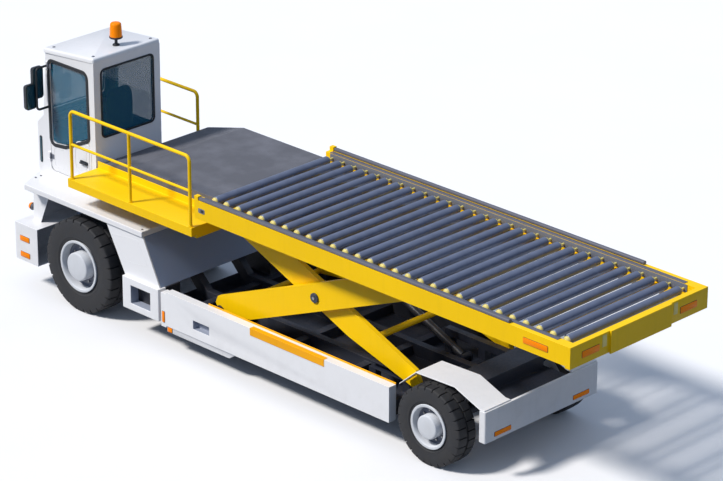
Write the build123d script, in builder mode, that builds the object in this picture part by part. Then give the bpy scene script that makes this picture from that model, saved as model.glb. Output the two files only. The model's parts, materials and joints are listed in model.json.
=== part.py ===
from build123d import *
import math
import os

# Aircraft cargo loader, millimetres. X points to the cab end, Y to the left side, Z up.
# The origin is on the ground, under the middle of the whole machine.

os.makedirs("parts", exist_ok=True)

full_turn = 360
SIDES = (("left", 1), ("right", -1))

# Overall
half_length = 4713
half_width = 1185
overrun = 20
pin_gap = 0.05
seat_gap = 0.3

# Wheels
front_axle_x = 3481
front_tyre_r = 616
front_tyre_w = 360
front_rim_r = 326
rear_axle_x = -2559
rear_tyre_r = 488
rear_tyre_w = 300
rear_rim_r = 259
wheel_face_y = 1120
kingpin_y = 800
kingpin_r = 28

# Scissor lift: lower front pin, closed at rest, and the deck's pin straight above it
pin_x = 1130
low_pin_z = 700
top_pin_z = 2030
mid_pin_x = -490
mid_pin_z = (low_pin_z + top_pin_z) / 2
half_arm = math.hypot(pin_x - mid_pin_x, mid_pin_z - low_pin_z)
arm_length = 2 * half_arm
arm_angle = math.degrees(math.atan2(mid_pin_z - low_pin_z, pin_x - mid_pin_x))
arm_depth = 340
arm_t = 60
outer_arm_y = 840
inner_arm_y = 755
arm_end_r = 42
arm_taper = 1180
arm_foot_taper = 480
track_roller_r = 33

# Main deck
deck_front_x = 1254
deck_rear_x = -half_length
deck_half_w = 1161
deck_top_z = 2185
deck_beam_h = 236
deck_beam_t = 125
roller_r = 54
roller_count = 29

# Chassis
rail_y = 350
rail_w = 100
rail_h = 160
rail_z = 400
cross_h = 120
cross_w = 110
beam_rear_x = -1946
beam_front_x = 1856
beam_low_z = 329
beam_top_z = 780
beam_outer_y = 1119
beam_inner_y = 1000
sheet = 12

# Front body
platform_z = 1434
platform_t = 75
platform_rear_x = 2286
platform_front_x = 4690
platform_corner_x = 4500
platform_half_w = 1100
platform_nose_y = 700
housing_foot_x = 1996
housing_foot_z = 770
arch_top_x = 2958
arch_foot_x = 2633
housing_half_w = 1080
well_inner_y = 442

# Bridge and walkway
bridge_z = 2014
bridge_front_x = 2880
bridge_ramp_x = 3550
bridge_skirt_z = 1820
bridge_y = 680
walk_z = 1809
walk_rear_x = 1286
walk_front_x = 3544
walk_skirt = 116
rail_tube_r = 19
rail_height = 898
rail_mid_drop = 440

# Cab
cab_left_y = 692
cab_right_y = -406
cab_rear_x = 3572
cab_wall = 40
roof_rear_z = 3175
roof_front_z = 3096
roof_t = 62
roof_lip = 34


def at_y(y):
    """Plane standing along the machine at a side distance y, seen from the right side."""
    return Plane.XZ.offset(-y)


def at_x(x):
    """Plane standing across the machine at x, seen from the front."""
    return Plane.YZ.offset(x)


def arm_point(pin, angle, u, v):
    """Point u along an arm and v above its line, the arm leaving its front pin to the rear."""
    a = math.radians(angle)
    return (pin[0] - u * math.cos(a) + v * math.sin(a),
            pin[1] + u * math.sin(a) + v * math.cos(a))


# Chassis frame: two kicked rails, cross members, floor plates and the box over the rear axle
axle_lift = 220
nose_lift = 320
kick_run = 200
kick_low_share = 1.6
kick_top_share = 1.4
kick_bend_share = 0.3
kick_rear_share = 0.7
rail_rear_x = -3200
front_floor_x = 2300
front_floor_half = 745
rear_floor_x = -2270
rear_floor_half = 560
axle_box_rear_x = -2860
axle_box_front_x = -2500
axle_box_half = 500
axle_box_h = 170
rail_front_x = 4260
rear_kick_x = -2130
front_kick_x = 1950
cross_table = (
    # x of the middle
    -1800,
    -900,
    120,
    pin_x,
    1700,
)
track_play = 2
lug_root_share = 0.8
lug_t = 20
lug_r = 60
lug_gap = 12
track_front_x = -1200
track_rear_x = -2400
track_y = 596
track_t = 10
track_reach = 94
lift_x = -1620
lift_z = 520
lift_y = 500
lift_eye_w = 50
barrel_r = 50
foot_eye_w = 2 * barrel_r
lift_eye_r = 50
lift_pin_r = 25
shaft_r = 35
lug_out_y = outer_arm_y + arm_t / 2 + lug_gap + lug_t / 2
lug_in_y = 610
rail_low_line = (
    (rail_rear_x, rail_z + axle_lift),
    (rear_kick_x - kick_run, rail_z + axle_lift),
    (rear_kick_x, rail_z),
    (front_kick_x, rail_z),
    (front_kick_x + kick_low_share * kick_run, rail_z + nose_lift),
    (rail_front_x, rail_z + nose_lift),
)
rail_top_line = (
    (rail_front_x, rail_z + nose_lift + rail_h),
    (front_kick_x + kick_top_share * kick_run, rail_z + nose_lift + rail_h),
    (front_kick_x - kick_bend_share * kick_run, rail_z + rail_h),
    (rear_kick_x + kick_bend_share * kick_run, rail_z + rail_h),
    (rear_kick_x - kick_rear_share * kick_run, rail_z + axle_lift + rail_h),
    (rail_rear_x, rail_z + axle_lift + rail_h),
)
cross_z = rail_z + cross_h / 2
cross_top_z = rail_z + cross_h
with BuildPart() as chassis_frame:
    for name, s in SIDES:
        with BuildSketch(at_y(s * rail_y)):
            with BuildLine():
                Polyline(*rail_low_line, *rail_top_line, close=True)
            make_face()
        extrude(amount=rail_w / 2, both=True)
    for x in cross_table:
        with Locations((x, 0, cross_z)):
            Box(cross_w, 2 * beam_inner_y, cross_h)
    with Locations((rail_rear_x + cross_w / 2, 0, rail_z + axle_lift + rail_h / 2)):
        Box(cross_w, 2 * rail_y, cross_h)
    with Locations((rail_front_x - cross_w / 2, 0, rail_z + nose_lift + rail_h / 2)):
        Box(cross_w, 2 * rail_y, cross_h)
    floor_l = beam_front_x - beam_rear_x
    with Locations(((beam_front_x + beam_rear_x) / 2, 0, rail_z - sheet / 2)):
        Box(floor_l, 2 * beam_inner_y, sheet)
    with Locations(((beam_front_x + front_floor_x) / 2, 0, rail_z - sheet / 2)):
        Box(front_floor_x - beam_front_x, 2 * front_floor_half, sheet)
    rail_high_z = rail_z + axle_lift + rail_h
    with Locations(((rail_rear_x + rear_floor_x) / 2, 0, rail_high_z + sheet / 2)):
        Box(rear_floor_x - rail_rear_x, 2 * rear_floor_half, sheet)
    with Locations(((axle_box_rear_x + axle_box_front_x) / 2, 0, rail_high_z + sheet + axle_box_h / 2)):
        Box(axle_box_front_x - axle_box_rear_x, 2 * axle_box_half, axle_box_h)
chassis_frame.part.label = "chassis_frame"
export_step(chassis_frame.part, "parts/chassis_frame.step")

# Chassis mounts: lower tracks, lugs of the lower front pin and feet of the lift cylinders
with BuildPart() as chassis_mounts:
    for name, s in SIDES:
        # Lower track: a channel open to the outside, carried on the cross members
        track_l = track_front_x - track_rear_x
        track_mid_x = (track_front_x + track_rear_x) / 2
        web_h = 2 * (track_roller_r + track_t + track_play)
        with Locations((track_mid_x, s * (track_y + track_t / 2), low_pin_z)):
            Box(track_l, track_t, web_h)
        for way in (1, -1):
            flange_z = low_pin_z + way * (web_h / 2 - track_t / 2)
            with Locations((track_mid_x, s * (track_y + track_reach / 2), flange_z)):
                Box(track_l, track_reach, track_t)
        for x, foot_z in ((cross_table[0], cross_top_z), (track_front_x - cross_w / 2, rail_z)):
            foot_h = low_pin_z - web_h / 2 - foot_z
            with Locations((x, s * (track_y + track_reach / 2), foot_z + foot_h / 2)):
                Box(cross_w, track_reach, foot_h)
        # Lugs of the lower front pin
        for y in (lug_out_y, lug_in_y):
            with BuildSketch(at_y(s * y)):
                with BuildLine():
                    Polyline((pin_x - cross_w / 2, cross_top_z), (pin_x + cross_w / 2, cross_top_z),
                             (pin_x + cross_w / 2, low_pin_z), (pin_x - cross_w / 2, low_pin_z), close=True)
                make_face()
                with Locations((pin_x, low_pin_z)):
                    Circle(lug_r)
            extrude(amount=lug_t / 2, both=True)
        # Lugs of the lift cylinder's foot
        for way in (1, -1):
            y = lift_y + way * (foot_eye_w / 2 + lug_gap / 2 + lug_t / 2)
            with BuildSketch(at_y(s * y)):
                with BuildLine():
                    Polyline((lift_x - 2 * lug_r, rail_z), (lift_x + lug_r, rail_z),
                             (lift_x + lug_root_share * lug_r, lift_z),
                             (lift_x - lug_root_share * lug_r, lift_z), close=True)
                make_face()
                with Locations((lift_x, lift_z)):
                    Circle(lug_r)
            extrude(amount=lug_t / 2, both=True)
        with Locations(Location((lift_x, s * lift_y, lift_z), (90, 0, 0))):
            Cylinder(lift_pin_r, foot_eye_w + lug_gap + 2 * lug_t)
    # Bore of the lower front shaft
    with Locations(Location((pin_x, 0, low_pin_z), (90, 0, 0))):
        Cylinder(shaft_r + pin_gap, 2 * beam_inner_y, mode=Mode.SUBTRACT)
chassis_mounts.part.label = "chassis_mounts"
export_step(chassis_mounts.part, "parts/chassis_mounts.step")

# Side beams with a step pocket and a lower skirt at the front
chin_rear_x = 632
chin_front_x = 1845
chin_slope = 110
chin_low_z = 252
chin_inset = 12
step_x = 1222
step_z = 500
step_w = 285
step_h = 115
step_depth = 80
tab_l = 94
tab_low_z = 300
tab_top_z = 750
tab_out_y = 1111
beam_y = (beam_outer_y + beam_inner_y) / 2
beam_w = beam_outer_y - beam_inner_y
with BuildPart() as side_beams:
    for name, s in SIDES:
        beam_mid_x = (beam_rear_x + beam_front_x) / 2
        with Locations((beam_mid_x, s * beam_y, (beam_low_z + beam_top_z) / 2)):
            Box(beam_front_x - beam_rear_x, beam_w, beam_top_z - beam_low_z)
        with BuildSketch(at_y(s * beam_y)):
            with BuildLine():
                Polyline((chin_rear_x, beam_low_z), (chin_rear_x + chin_slope, chin_low_z),
                         (chin_front_x, chin_low_z), (chin_front_x, beam_low_z), close=True)
            make_face()
        extrude(amount=beam_w / 2 - chin_inset, both=True)
        # Closing plate between the beam's front end and the step box
        tab_y = (tab_out_y + beam_inner_y) / 2
        with Locations((beam_front_x + tab_l / 2, s * tab_y, (tab_low_z + tab_top_z) / 2)):
            Box(tab_l, tab_out_y - beam_inner_y, tab_top_z - tab_low_z)
        with Locations((step_x, s * (beam_outer_y - step_depth / 2 + overrun / 2), step_z)):
            Box(step_w, step_depth + overrun, step_h, mode=Mode.SUBTRACT)
side_beams.part.label = "side_beams"
export_step(side_beams.part, "parts/side_beams.step")

# Yellow trim: angle strips on the beams' outer edge and a low inner rail
strip_rear_x = -890
strip_front_x = 360
strip_drop = 90
strip_lap = 60
strip_t = 6
trim_front_x = 1200
trim_rail_h = 22
trim_rail_t = 10
with BuildPart() as beam_trim:
    for name, s in SIDES:
        strip_mid_x = (strip_rear_x + strip_front_x) / 2
        strip_l = strip_front_x - strip_rear_x
        strip_mid_z = beam_top_z + strip_t / 2 - strip_drop / 2
        with Locations((strip_mid_x, s * (beam_outer_y + strip_t / 2), strip_mid_z)):
            Box(strip_l, strip_t, strip_drop + strip_t)
        with Locations((strip_mid_x, s * (beam_outer_y - strip_lap / 2), beam_top_z + strip_t / 2)):
            Box(strip_l, strip_lap, strip_t)
        trim_y = beam_inner_y + trim_rail_t / 2
        with Locations(((beam_rear_x + trim_front_x) / 2, s * trim_y, beam_top_z + trim_rail_h / 2)):
            Box(trim_front_x - beam_rear_x, trim_rail_t, trim_rail_h)
beam_trim.part.label = "beam_trim"
export_step(beam_trim.part, "parts/beam_trim.step")

# Rear bumper: a U in plan with rounded corners
bumper_rear_x = -3297
bumper_front_x = -3200
bumper_half_w = 960
bumper_low_z = 470
bumper_top_z = 865
bumper_t = 40
with BuildPart() as rear_bumper:
    with BuildSketch(Plane.XY.offset(bumper_low_z)):
        bumper_l = bumper_front_x - bumper_rear_x
        with Locations(((bumper_rear_x + bumper_front_x) / 2, 0)):
            Rectangle(bumper_l, 2 * bumper_half_w)
        with Locations(((bumper_rear_x + bumper_front_x) / 2 + bumper_t, 0)):
            Rectangle(bumper_l, 2 * (bumper_half_w - bumper_t), mode=Mode.SUBTRACT)
    extrude(amount=bumper_top_z - bumper_low_z)
    rear_edges = rear_bumper.faces().sort_by(Axis.X)[0].edges().filter_by(Axis.Z)
    fillet(rear_edges, bumper_t / 2)
    # Cross plate that joins the bumper to the rails
    join_l = rail_rear_x - bumper_rear_x - bumper_t
    with Locations((rail_rear_x - join_l / 2, 0, rail_z + axle_lift + rail_h / 2)):
        Box(join_l, 2 * rail_y + rail_w, cross_h)
rear_bumper.part.label = "rear_bumper"
export_step(rear_bumper.part, "parts/rear_bumper.step")

# Rear fenders: bent sheet over the inner part of each rear tyre, cut back ahead for the arm
fender_front_z = 1010
fender_rear_z = 1030
fender_in_y = 520
fender_strip_y = 800
fender_out_y = 955
fender_t = 16
fender_flat_front_x = -2210
fender_flat_rear_x = -2810
fender_cut_x = -2160
fender_slope = (fender_front_z - beam_top_z) / (beam_rear_x - fender_flat_front_x)
fender_rear_line = (
    # x and z of the upper face over the tyre, down to its landing on the bumper
    (fender_flat_front_x, fender_front_z),
    (fender_flat_rear_x, fender_rear_z),
    (bumper_front_x, bumper_top_z + fender_t),
    (bumper_rear_x + bumper_t / 2, bumper_top_z + fender_t),
)
fender_cut_z = fender_front_z - (fender_cut_x - fender_flat_front_x) * fender_slope
fender_wide = ((fender_cut_x, fender_cut_z), *fender_rear_line)
fender_narrow = ((beam_rear_x, beam_top_z), *fender_rear_line)
with BuildPart() as rear_fenders:
    for name, s in SIDES:
        for inner_y, line in ((fender_in_y, fender_wide), (fender_strip_y, fender_narrow)):
            under = [(x, z - fender_t) for x, z in reversed(line)]
            with BuildSketch(at_y(s * (inner_y + fender_out_y) / 2)):
                with BuildLine():
                    Polyline(*line, *under, close=True)
                make_face()
            extrude(amount=(fender_out_y - inner_y) / 2, both=True)
rear_fenders.part.label = "rear_fenders"
export_step(rear_fenders.part, "parts/rear_fenders.step")

# Front platform: the white plate that carries the cab, with slanted nose corners
with BuildPart() as front_platform:
    with BuildSketch(Plane.XY.offset(platform_z - platform_t)):
        with BuildLine():
            Polyline((platform_rear_x, -platform_half_w), (platform_corner_x, -platform_half_w),
                     (platform_front_x, -platform_nose_y), (platform_front_x, platform_nose_y),
                     (platform_corner_x, platform_half_w), (platform_rear_x, platform_half_w), close=True)
        make_face()
    extrude(amount=platform_t)
front_platform.part.label = "front_platform"
export_step(front_platform.part, "parts/front_platform.step")

# Front housing: hollow body behind the front wheels, with a leaning rear wall and wheel well walls
housing_top_z = platform_z - platform_t
well_low_z = 905
well_front_x = 4270
lean_foot_share = 1.1
lean_top_share = 0.5
arch_top_share = 1.4
housing_line = (
    # x and z of the outline seen from the side
    (housing_foot_x, housing_foot_z),
    (platform_rear_x, housing_top_z),
    (arch_top_x, housing_top_z),
    (arch_foot_x, housing_foot_z),
)
housing_core = (
    # x and z of the hollow, open below
    (housing_foot_x + lean_foot_share * sheet, housing_foot_z - overrun),
    (platform_rear_x + lean_top_share * sheet, housing_top_z - sheet),
    (arch_top_x - arch_top_share * sheet, housing_top_z - sheet),
    (arch_foot_x - lean_foot_share * sheet, housing_foot_z - overrun),
)
with BuildPart() as front_housing:
    with BuildSketch(at_y(0)):
        with BuildLine():
            Polyline(*housing_line, close=True)
        make_face()
    extrude(amount=housing_half_w, both=True)
    with BuildSketch(at_y(0)):
        with BuildLine():
            Polyline(*housing_core, close=True)
        make_face()
    extrude(amount=housing_half_w - sheet, both=True, mode=Mode.SUBTRACT)
    # The front wall is open between the wheel wells, for the rails and the engine
    with Locations(((arch_foot_x + arch_top_x) / 2, 0, (housing_foot_z + housing_top_z) / 2 - sheet)):
        Box(arch_top_x - arch_foot_x + 2 * sheet, 2 * (well_inner_y - sheet),
            housing_top_z - housing_foot_z, mode=Mode.SUBTRACT)
    for name, s in SIDES:
        with BuildSketch(at_y(s * (well_inner_y - sheet / 2))):
            with BuildLine():
                Polyline((arch_foot_x, housing_foot_z), (arch_foot_x + cross_w, well_low_z),
                         (well_front_x, well_low_z), (well_front_x, housing_top_z),
                         (arch_top_x - sheet, housing_top_z), close=True)
            make_face()
        extrude(amount=sheet / 2, both=True)
front_housing.part.label = "front_housing"
export_step(front_housing.part, "parts/front_housing.step")

# Step boxes behind the front wheels
box_rear_x = 1975
box_low_z = 345
box_out_y = 1130
box_in_y = 760
box_pocket_w = 355
box_pocket_h = 240
box_pocket_d = 150
with BuildPart() as step_boxes:
    for name, s in SIDES:
        box_x = (box_rear_x + arch_foot_x) / 2
        box_z = (box_low_z + housing_foot_z) / 2
        with Locations((box_x, s * (box_out_y + box_in_y) / 2, box_z)):
            Box(arch_foot_x - box_rear_x, box_out_y - box_in_y, housing_foot_z - box_low_z)
        with Locations((box_x, s * (box_out_y - box_pocket_d / 2 + overrun / 2), box_z)):
            Box(box_pocket_w, box_pocket_d + overrun, box_pocket_h, mode=Mode.SUBTRACT)
step_boxes.part.label = "step_boxes"
export_step(step_boxes.part, "parts/step_boxes.step")

# Front bumper: full-width hollow box with a neck up to the platform
nose_rear_x = 4282
nose_low_z = 364
nose_top_z = 868
neck_front_x = 4560
neck_rear_x = 4222
neck_foot_x = 4440
nose_half_w = 1100
neck_half_w = 900
with BuildPart() as front_bumper:
    with BuildSketch(at_y(0)):
        with BuildLine():
            Polyline((nose_rear_x, nose_low_z), (half_length, nose_low_z), (half_length, nose_top_z),
                     (nose_rear_x, nose_top_z), close=True)
        make_face()
    extrude(amount=nose_half_w, both=True)
    with BuildSketch(at_y(0)):
        with BuildLine():
            Polyline((nose_rear_x - overrun, nose_low_z + sheet), (half_length - sheet, nose_low_z + sheet),
                     (half_length - sheet, nose_top_z - sheet), (nose_rear_x - overrun, nose_top_z - sheet),
                     close=True)
        make_face()
    extrude(amount=nose_half_w - sheet, both=True, mode=Mode.SUBTRACT)
    with BuildSketch(at_y(0)):
        with BuildLine():
            Polyline((neck_foot_x, nose_top_z), (neck_front_x + 2 * sheet, nose_top_z),
                     (neck_front_x, housing_top_z), (neck_rear_x, housing_top_z), close=True)
        make_face()
    extrude(amount=neck_half_w, both=True)
    with BuildSketch(at_y(0)):
        with BuildLine():
            Polyline((neck_rear_x - overrun, nose_top_z), (neck_front_x + sheet, nose_top_z),
                     (neck_front_x - sheet, housing_top_z + overrun),
                     (neck_rear_x - overrun, housing_top_z + overrun), close=True)
        make_face()
    extrude(amount=neck_half_w - sheet, both=True, mode=Mode.SUBTRACT)
    # Bracket plate between the rails' front ends and the box's front wall
    plate_l = half_length - sheet - rail_front_x
    with Locations((rail_front_x + plate_l / 2, 0, rail_z + nose_lift + sheet / 2)):
        Box(plate_l, 2 * rail_y + rail_w, sheet)
front_bumper.part.label = "front_bumper"
export_step(front_bumper.part, "parts/front_bumper.step")

# Front axle: beam with a fork at each end for the kingpin
axle_r = 70
fork_in = 68
fork_t = 30
fork_r = 62
knuckle_r = 52
fork_play = 1
with BuildPart() as front_axle:
    axle_half = kingpin_y - 2 * fork_r
    with Locations((front_axle_x, 0, front_tyre_r)):
        Box(2 * axle_r, 2 * axle_half, 2 * axle_r)
    for name, s in SIDES:
        for way in (1, -1):
            fork_z = front_tyre_r + way * (fork_in + fork_t / 2)
            with BuildSketch(Plane.XY.offset(fork_z - fork_t / 2)):
                with Locations((front_axle_x, s * kingpin_y)):
                    Circle(fork_r)
                with Locations((front_axle_x, s * (axle_half + kingpin_y - fork_r) / 2)):
                    Rectangle(2 * fork_r, kingpin_y - axle_half + fork_r)
                with Locations((front_axle_x, s * kingpin_y)):
                    Circle(kingpin_r + pin_gap, mode=Mode.SUBTRACT)
            extrude(amount=fork_t)
        # Root of the fork
        with Locations((front_axle_x, s * (axle_half - fork_t / 2), front_tyre_r)):
            Box(2 * fork_r, fork_t, 2 * (fork_in + fork_t))
        # Spring seats under the rails
        seat_low = front_tyre_r + axle_r
        seat_h = rail_z + nose_lift - seat_low
        with Locations((front_axle_x, s * rail_y, seat_low + seat_h / 2)):
            Box(2 * axle_r, rail_w, seat_h)
front_axle.part.label = "front_axle"
export_step(front_axle.part, "parts/front_axle.step")

# Rear axle: tapered beam with a hub spindle at each end
rear_spindle_r = 45
rear_hub_y = 1000
with BuildPart() as rear_axle:
    with Locations(Location((rear_axle_x, 0, rear_tyre_r), (90, 0, 0))):
        Cylinder(axle_r, 2 * (wheel_face_y - rear_tyre_w))
        Cylinder(rear_spindle_r, 2 * rear_hub_y)
        Cylinder(2 * axle_r, rail_w + axle_r)
    for name, s in SIDES:
        seat_top = rail_z + axle_lift
        with Locations((rear_axle_x, s * rail_y, (rear_tyre_r + seat_top) / 2)):
            Box(2 * axle_r, rail_w, seat_top - rear_tyre_r)
rear_axle.part.label = "rear_axle"
export_step(rear_axle.part, "parts/rear_axle.step")

# Engine block between the rails, on two mounts
engine_l = 800
engine_w = 480
engine_h = 420
engine_x = 2900
with BuildPart() as engine:
    engine_z = rail_z + nose_lift + rail_h
    with Locations((engine_x, 0, engine_z - rail_h / 2 + engine_h / 2)):
        Box(engine_l, engine_w, engine_h)
    with Locations((engine_x, 0, engine_z + sheet)):
        Box(engine_l / 2, 2 * rail_y + rail_w, 2 * sheet)
engine.part.label = "engine"
export_step(engine.part, "parts/engine.step")

# Knuckles with kingpin and spindle
spindle_r = 45
spindle_end_y = 1000
for name, s in SIDES:
    with BuildPart() as knuckle:
        with Locations((front_axle_x, s * kingpin_y, front_tyre_r)):
            Cylinder(knuckle_r, 2 * (fork_in - fork_play))
            Cylinder(kingpin_r, 2 * (fork_in + fork_t))
        spindle_l = spindle_end_y - kingpin_y
        with Locations(Location((front_axle_x, s * (kingpin_y + spindle_l / 2), front_tyre_r), (90, 0, 0))):
            Cylinder(spindle_r, spindle_l)
    knuckle.part.label = f"knuckle_{name}"
    export_step(knuckle.part, f"parts/knuckle_{name}.step")

# Wheels: tyre with shoulder lugs, and a dished rim with a long hub cap
lug_count = 26
lug_h = 24
lug_gap_share = 0.18
lug_place_share = 0.265
lug_width_share = 0.43
bead_share = 0.36
bulge_share = 0.45
shoulder_share = 0.49
shoulder_drop_share = 2.6
crown_share = 0.6
rim_t = 14
dish_share = 0.18
cap_r_share = 0.62
cap_rise_share = 1.6
flange_share = 0.42
lip_share = 0.47
wheel_table = (
    # name, x, tyre radius, tyre width, rim radius, spindle radius
    ("front", front_axle_x, front_tyre_r, front_tyre_w, front_rim_r, spindle_r),
    ("rear", rear_axle_x, rear_tyre_r, rear_tyre_w, rear_rim_r, rear_spindle_r),
)
for axle, wheel_x, tyre_r, tyre_w, rim_r, hub_bore in wheel_table:
    wheel_y = wheel_face_y - tyre_w / 2
    with BuildPart() as tyre:
        with BuildSketch(Plane.XZ):
            with BuildLine():
                bead = bead_share * tyre_w
                shoulder = shoulder_share * tyre_w
                side_r = rim_r + bulge_share * (tyre_r - rim_r)
                shoulder_r = tyre_r - shoulder_drop_share * lug_h
                Polyline((rim_r, -bead), (side_r, -tyre_w / 2), (shoulder_r, -shoulder),
                         (tyre_r - lug_h, -bead), (tyre_r - crown_share * lug_h, 0), (tyre_r - lug_h, bead),
                         (shoulder_r, shoulder), (side_r, tyre_w / 2), (rim_r, bead), close=True)
            make_face()
        revolve(axis=Axis.Z)
        step_angle = full_turn / lug_count
        lug_arc = math.radians(step_angle) * (1 - lug_gap_share) * tyre_r
        places = []
        for way in (1, -1):
            turn = 0 if way > 0 else step_angle / 2
            for i in range(lug_count):
                a = math.radians(i * step_angle + turn)
                mid_r = tyre_r - shoulder_drop_share * lug_h / 2
                lug_mid = way * lug_place_share * tyre_w
                places.append(Location((mid_r * math.cos(a), mid_r * math.sin(a), lug_mid),
                                       (0, 0, math.degrees(a))))
        with Locations(*places):
            Box(shoulder_drop_share * lug_h, lug_arc, lug_width_share * tyre_w)
        with BuildSketch(Plane.XZ):
            with Locations((tyre_r + lug_h, 0)):
                Rectangle(2 * lug_h, 2 * tyre_w)
        revolve(axis=Axis.Z, mode=Mode.SUBTRACT)
    with BuildPart() as rim:
        bead = bead_share * tyre_w
        dish_z = dish_share * tyre_w
        dish_r = rim_r - 2 * rim_t - rim_t / 2
        hub_cap_r = cap_r_share * rim_r
        cap_z = tyre_w / 2 + cap_rise_share * rim_t
        with BuildSketch(Plane.XZ):
            with BuildLine():
                Polyline((rim_r, -bead), (rim_r, bead), (rim_r + rim_t, flange_share * tyre_w),
                         (rim_r + rim_t, tyre_w / 2), (rim_r - 2 * rim_t, lip_share * tyre_w),
                         (dish_r, dish_z), (hub_cap_r, dish_z), (hub_cap_r, cap_z - rim_t),
                         (hub_cap_r - rim_t, cap_z), (0, cap_z), (0, cap_z - rim_t),
                         (hub_bore + pin_gap, cap_z - rim_t), (hub_bore + pin_gap, 0), (hub_cap_r, 0),
                         (hub_cap_r, dish_z - rim_t), (dish_r, dish_z - rim_t),
                         (rim_r - rim_t, dish_z - 2 * rim_t), (rim_r - rim_t, -bead), close=True)
            make_face()
        revolve(axis=Axis.Z)
    for name, s in SIDES:
        spin = Location((wheel_x, s * wheel_y, tyre_r), (-90 * s, 0, 0))
        tyre_part = spin * tyre.part
        tyre_part.label = f"tyre_{axle}_{name}"
        export_step(tyre_part, f"parts/tyre_{axle}_{name}.step")
        rim_part = spin * rim.part
        rim_part.label = f"rim_{axle}_{name}"
        export_step(rim_part, f"parts/rim_{axle}_{name}.step")

# Bridge: dark plate level with the deck's foot, with a ramp down to the cab and skirts
bridge_t = 10
bridge_rear_x = 1270
bridge_far_y = -half_width
bridge_mid_y = (bridge_y + bridge_far_y) / 2
bridge_half = (bridge_y - bridge_far_y) / 2
support_rear_x = 2350
support_front_x = 3400
support_flare = 440
support_y = 560
with BuildPart() as bridge:
    with BuildSketch(at_y(bridge_mid_y)):
        with BuildLine():
            Polyline((bridge_rear_x, bridge_skirt_z), (bridge_rear_x, bridge_z), (bridge_front_x, bridge_z),
                     (bridge_ramp_x, bridge_skirt_z + 2 * bridge_t),
                     (bridge_ramp_x, bridge_skirt_z), close=True)
        make_face()
    extrude(amount=bridge_half, both=True)
    with BuildSketch(at_y(bridge_mid_y)):
        with BuildLine():
            Polyline((bridge_rear_x + bridge_t, bridge_skirt_z - overrun),
                     (bridge_rear_x + bridge_t, bridge_z - bridge_t),
                     (bridge_front_x - bridge_t, bridge_z - bridge_t),
                     (bridge_ramp_x - bridge_t, bridge_skirt_z + bridge_t),
                     (bridge_ramp_x - bridge_t, bridge_skirt_z - overrun), close=True)
        make_face()
    extrude(amount=bridge_half - bridge_t, both=True, mode=Mode.SUBTRACT)
    # Legs down to the front platform
    for y in (support_y, -support_y):
        with BuildSketch(at_y(y)):
            with BuildLine():
                Polyline((support_rear_x, platform_z), (support_front_x, platform_z),
                         (support_front_x, bridge_skirt_z),
                         (bridge_front_x - bridge_t, bridge_z - bridge_t),
                         (support_rear_x - support_flare, bridge_z - bridge_t),
                         (support_rear_x - support_flare, bridge_skirt_z), close=True)
            make_face()
        extrude(amount=sheet, both=True)
    leg_h = bridge_z - bridge_t - platform_z
    with Locations((support_rear_x + sheet, 0, platform_z + leg_h / 2)):
        Box(2 * sheet, 2 * support_y, leg_h)
bridge.part.label = "bridge"
export_step(bridge.part, "parts/bridge.step")

# Walkway: a tray hung on the bridge's left skirt, with a cross bracket below its rear end
bracket_l = 84
bracket_out_y = 1100
bracket_in_y = 450
bracket_low_z = 1652
walk_t = 12
toe_h = 90
walk_l = walk_front_x - walk_rear_x
walk_w = half_width - bridge_y
walk_mid = ((walk_front_x + walk_rear_x) / 2, (half_width + bridge_y) / 2)
with BuildPart() as walkway:
    with Locations((*walk_mid, walk_z - walk_skirt / 2)):
        Box(walk_l, walk_w, walk_skirt)
    with Locations((*walk_mid, walk_z - walk_t - walk_skirt / 2)):
        Box(walk_l - 2 * walk_t, walk_w - 2 * walk_t, walk_skirt, mode=Mode.SUBTRACT)
    bracket_h = walk_z - walk_skirt + walk_t - bracket_low_z
    bracket_x = walk_rear_x + bracket_l / 2
    with Locations((bracket_x, (bracket_out_y + bracket_in_y) / 2, bracket_low_z + bracket_h / 2)):
        Box(bracket_l, bracket_out_y - bracket_in_y, bracket_h)
    # Toe board that hangs the tray on the bridge's skirt
    with Locations((walk_mid[0], bridge_y + walk_t / 2, walk_z + toe_h / 2)):
        Box(walk_l, walk_t, toe_h)
walkway.part.label = "walkway"
export_step(walkway.part, "parts/walkway.step")

# Handrails: bent tube with posts and a middle rail, on the walkway and on the platform's far side
bend_r = 70
post_set_share = 1.5
mid_tube_share = 0.8
foot_share = 1.4
left_posts = 3
right_posts = 2
left_rail_y = half_width - post_set_share * rail_tube_r
left_rail_front_x = 3488
left_rail_rear_x = 1332
right_rail_y = -platform_half_w + 2 * rail_tube_r
right_rail_front_x = 4450
right_rail_rear_x = 3608
rail_table = (
    # y, front x, rear x, foot z, posts
    (left_rail_y, left_rail_front_x, left_rail_rear_x, walk_z, left_posts),
    (right_rail_y, right_rail_front_x, right_rail_rear_x, platform_z, right_posts),
)
with BuildPart() as handrails:
    for y, front_x, rear_x, foot_z, posts in rail_table:
        top_z = foot_z + rail_height
        mid_z = top_z - rail_mid_drop
        with BuildLine(at_y(y)):
            FilletPolyline((front_x, foot_z), (front_x, top_z), (rear_x, top_z), (rear_x, foot_z),
                           radius=bend_r)
        with BuildSketch(Plane.XY.offset(foot_z)):
            with Locations((front_x, y)):
                Circle(rail_tube_r)
        sweep()
        for i in range(posts):
            if 0 < i < posts - 1:
                with Locations((front_x + (rear_x - front_x) * i / (posts - 1), y, (foot_z + top_z) / 2)):
                    Cylinder(rail_tube_r, top_z - foot_z)
        with Locations(Location(((front_x + rear_x) / 2, y, mid_z), (0, 90, 0))):
            Cylinder(mid_tube_share * rail_tube_r, front_x - rear_x)
        for i in range(posts):
            with Locations((front_x + (rear_x - front_x) * i / (posts - 1), y, foot_z + sheet / 2)):
                Cylinder(foot_share * rail_tube_r, sheet)
handrails.part.label = "handrails"
export_step(handrails.part, "parts/handrails.step")

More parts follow.
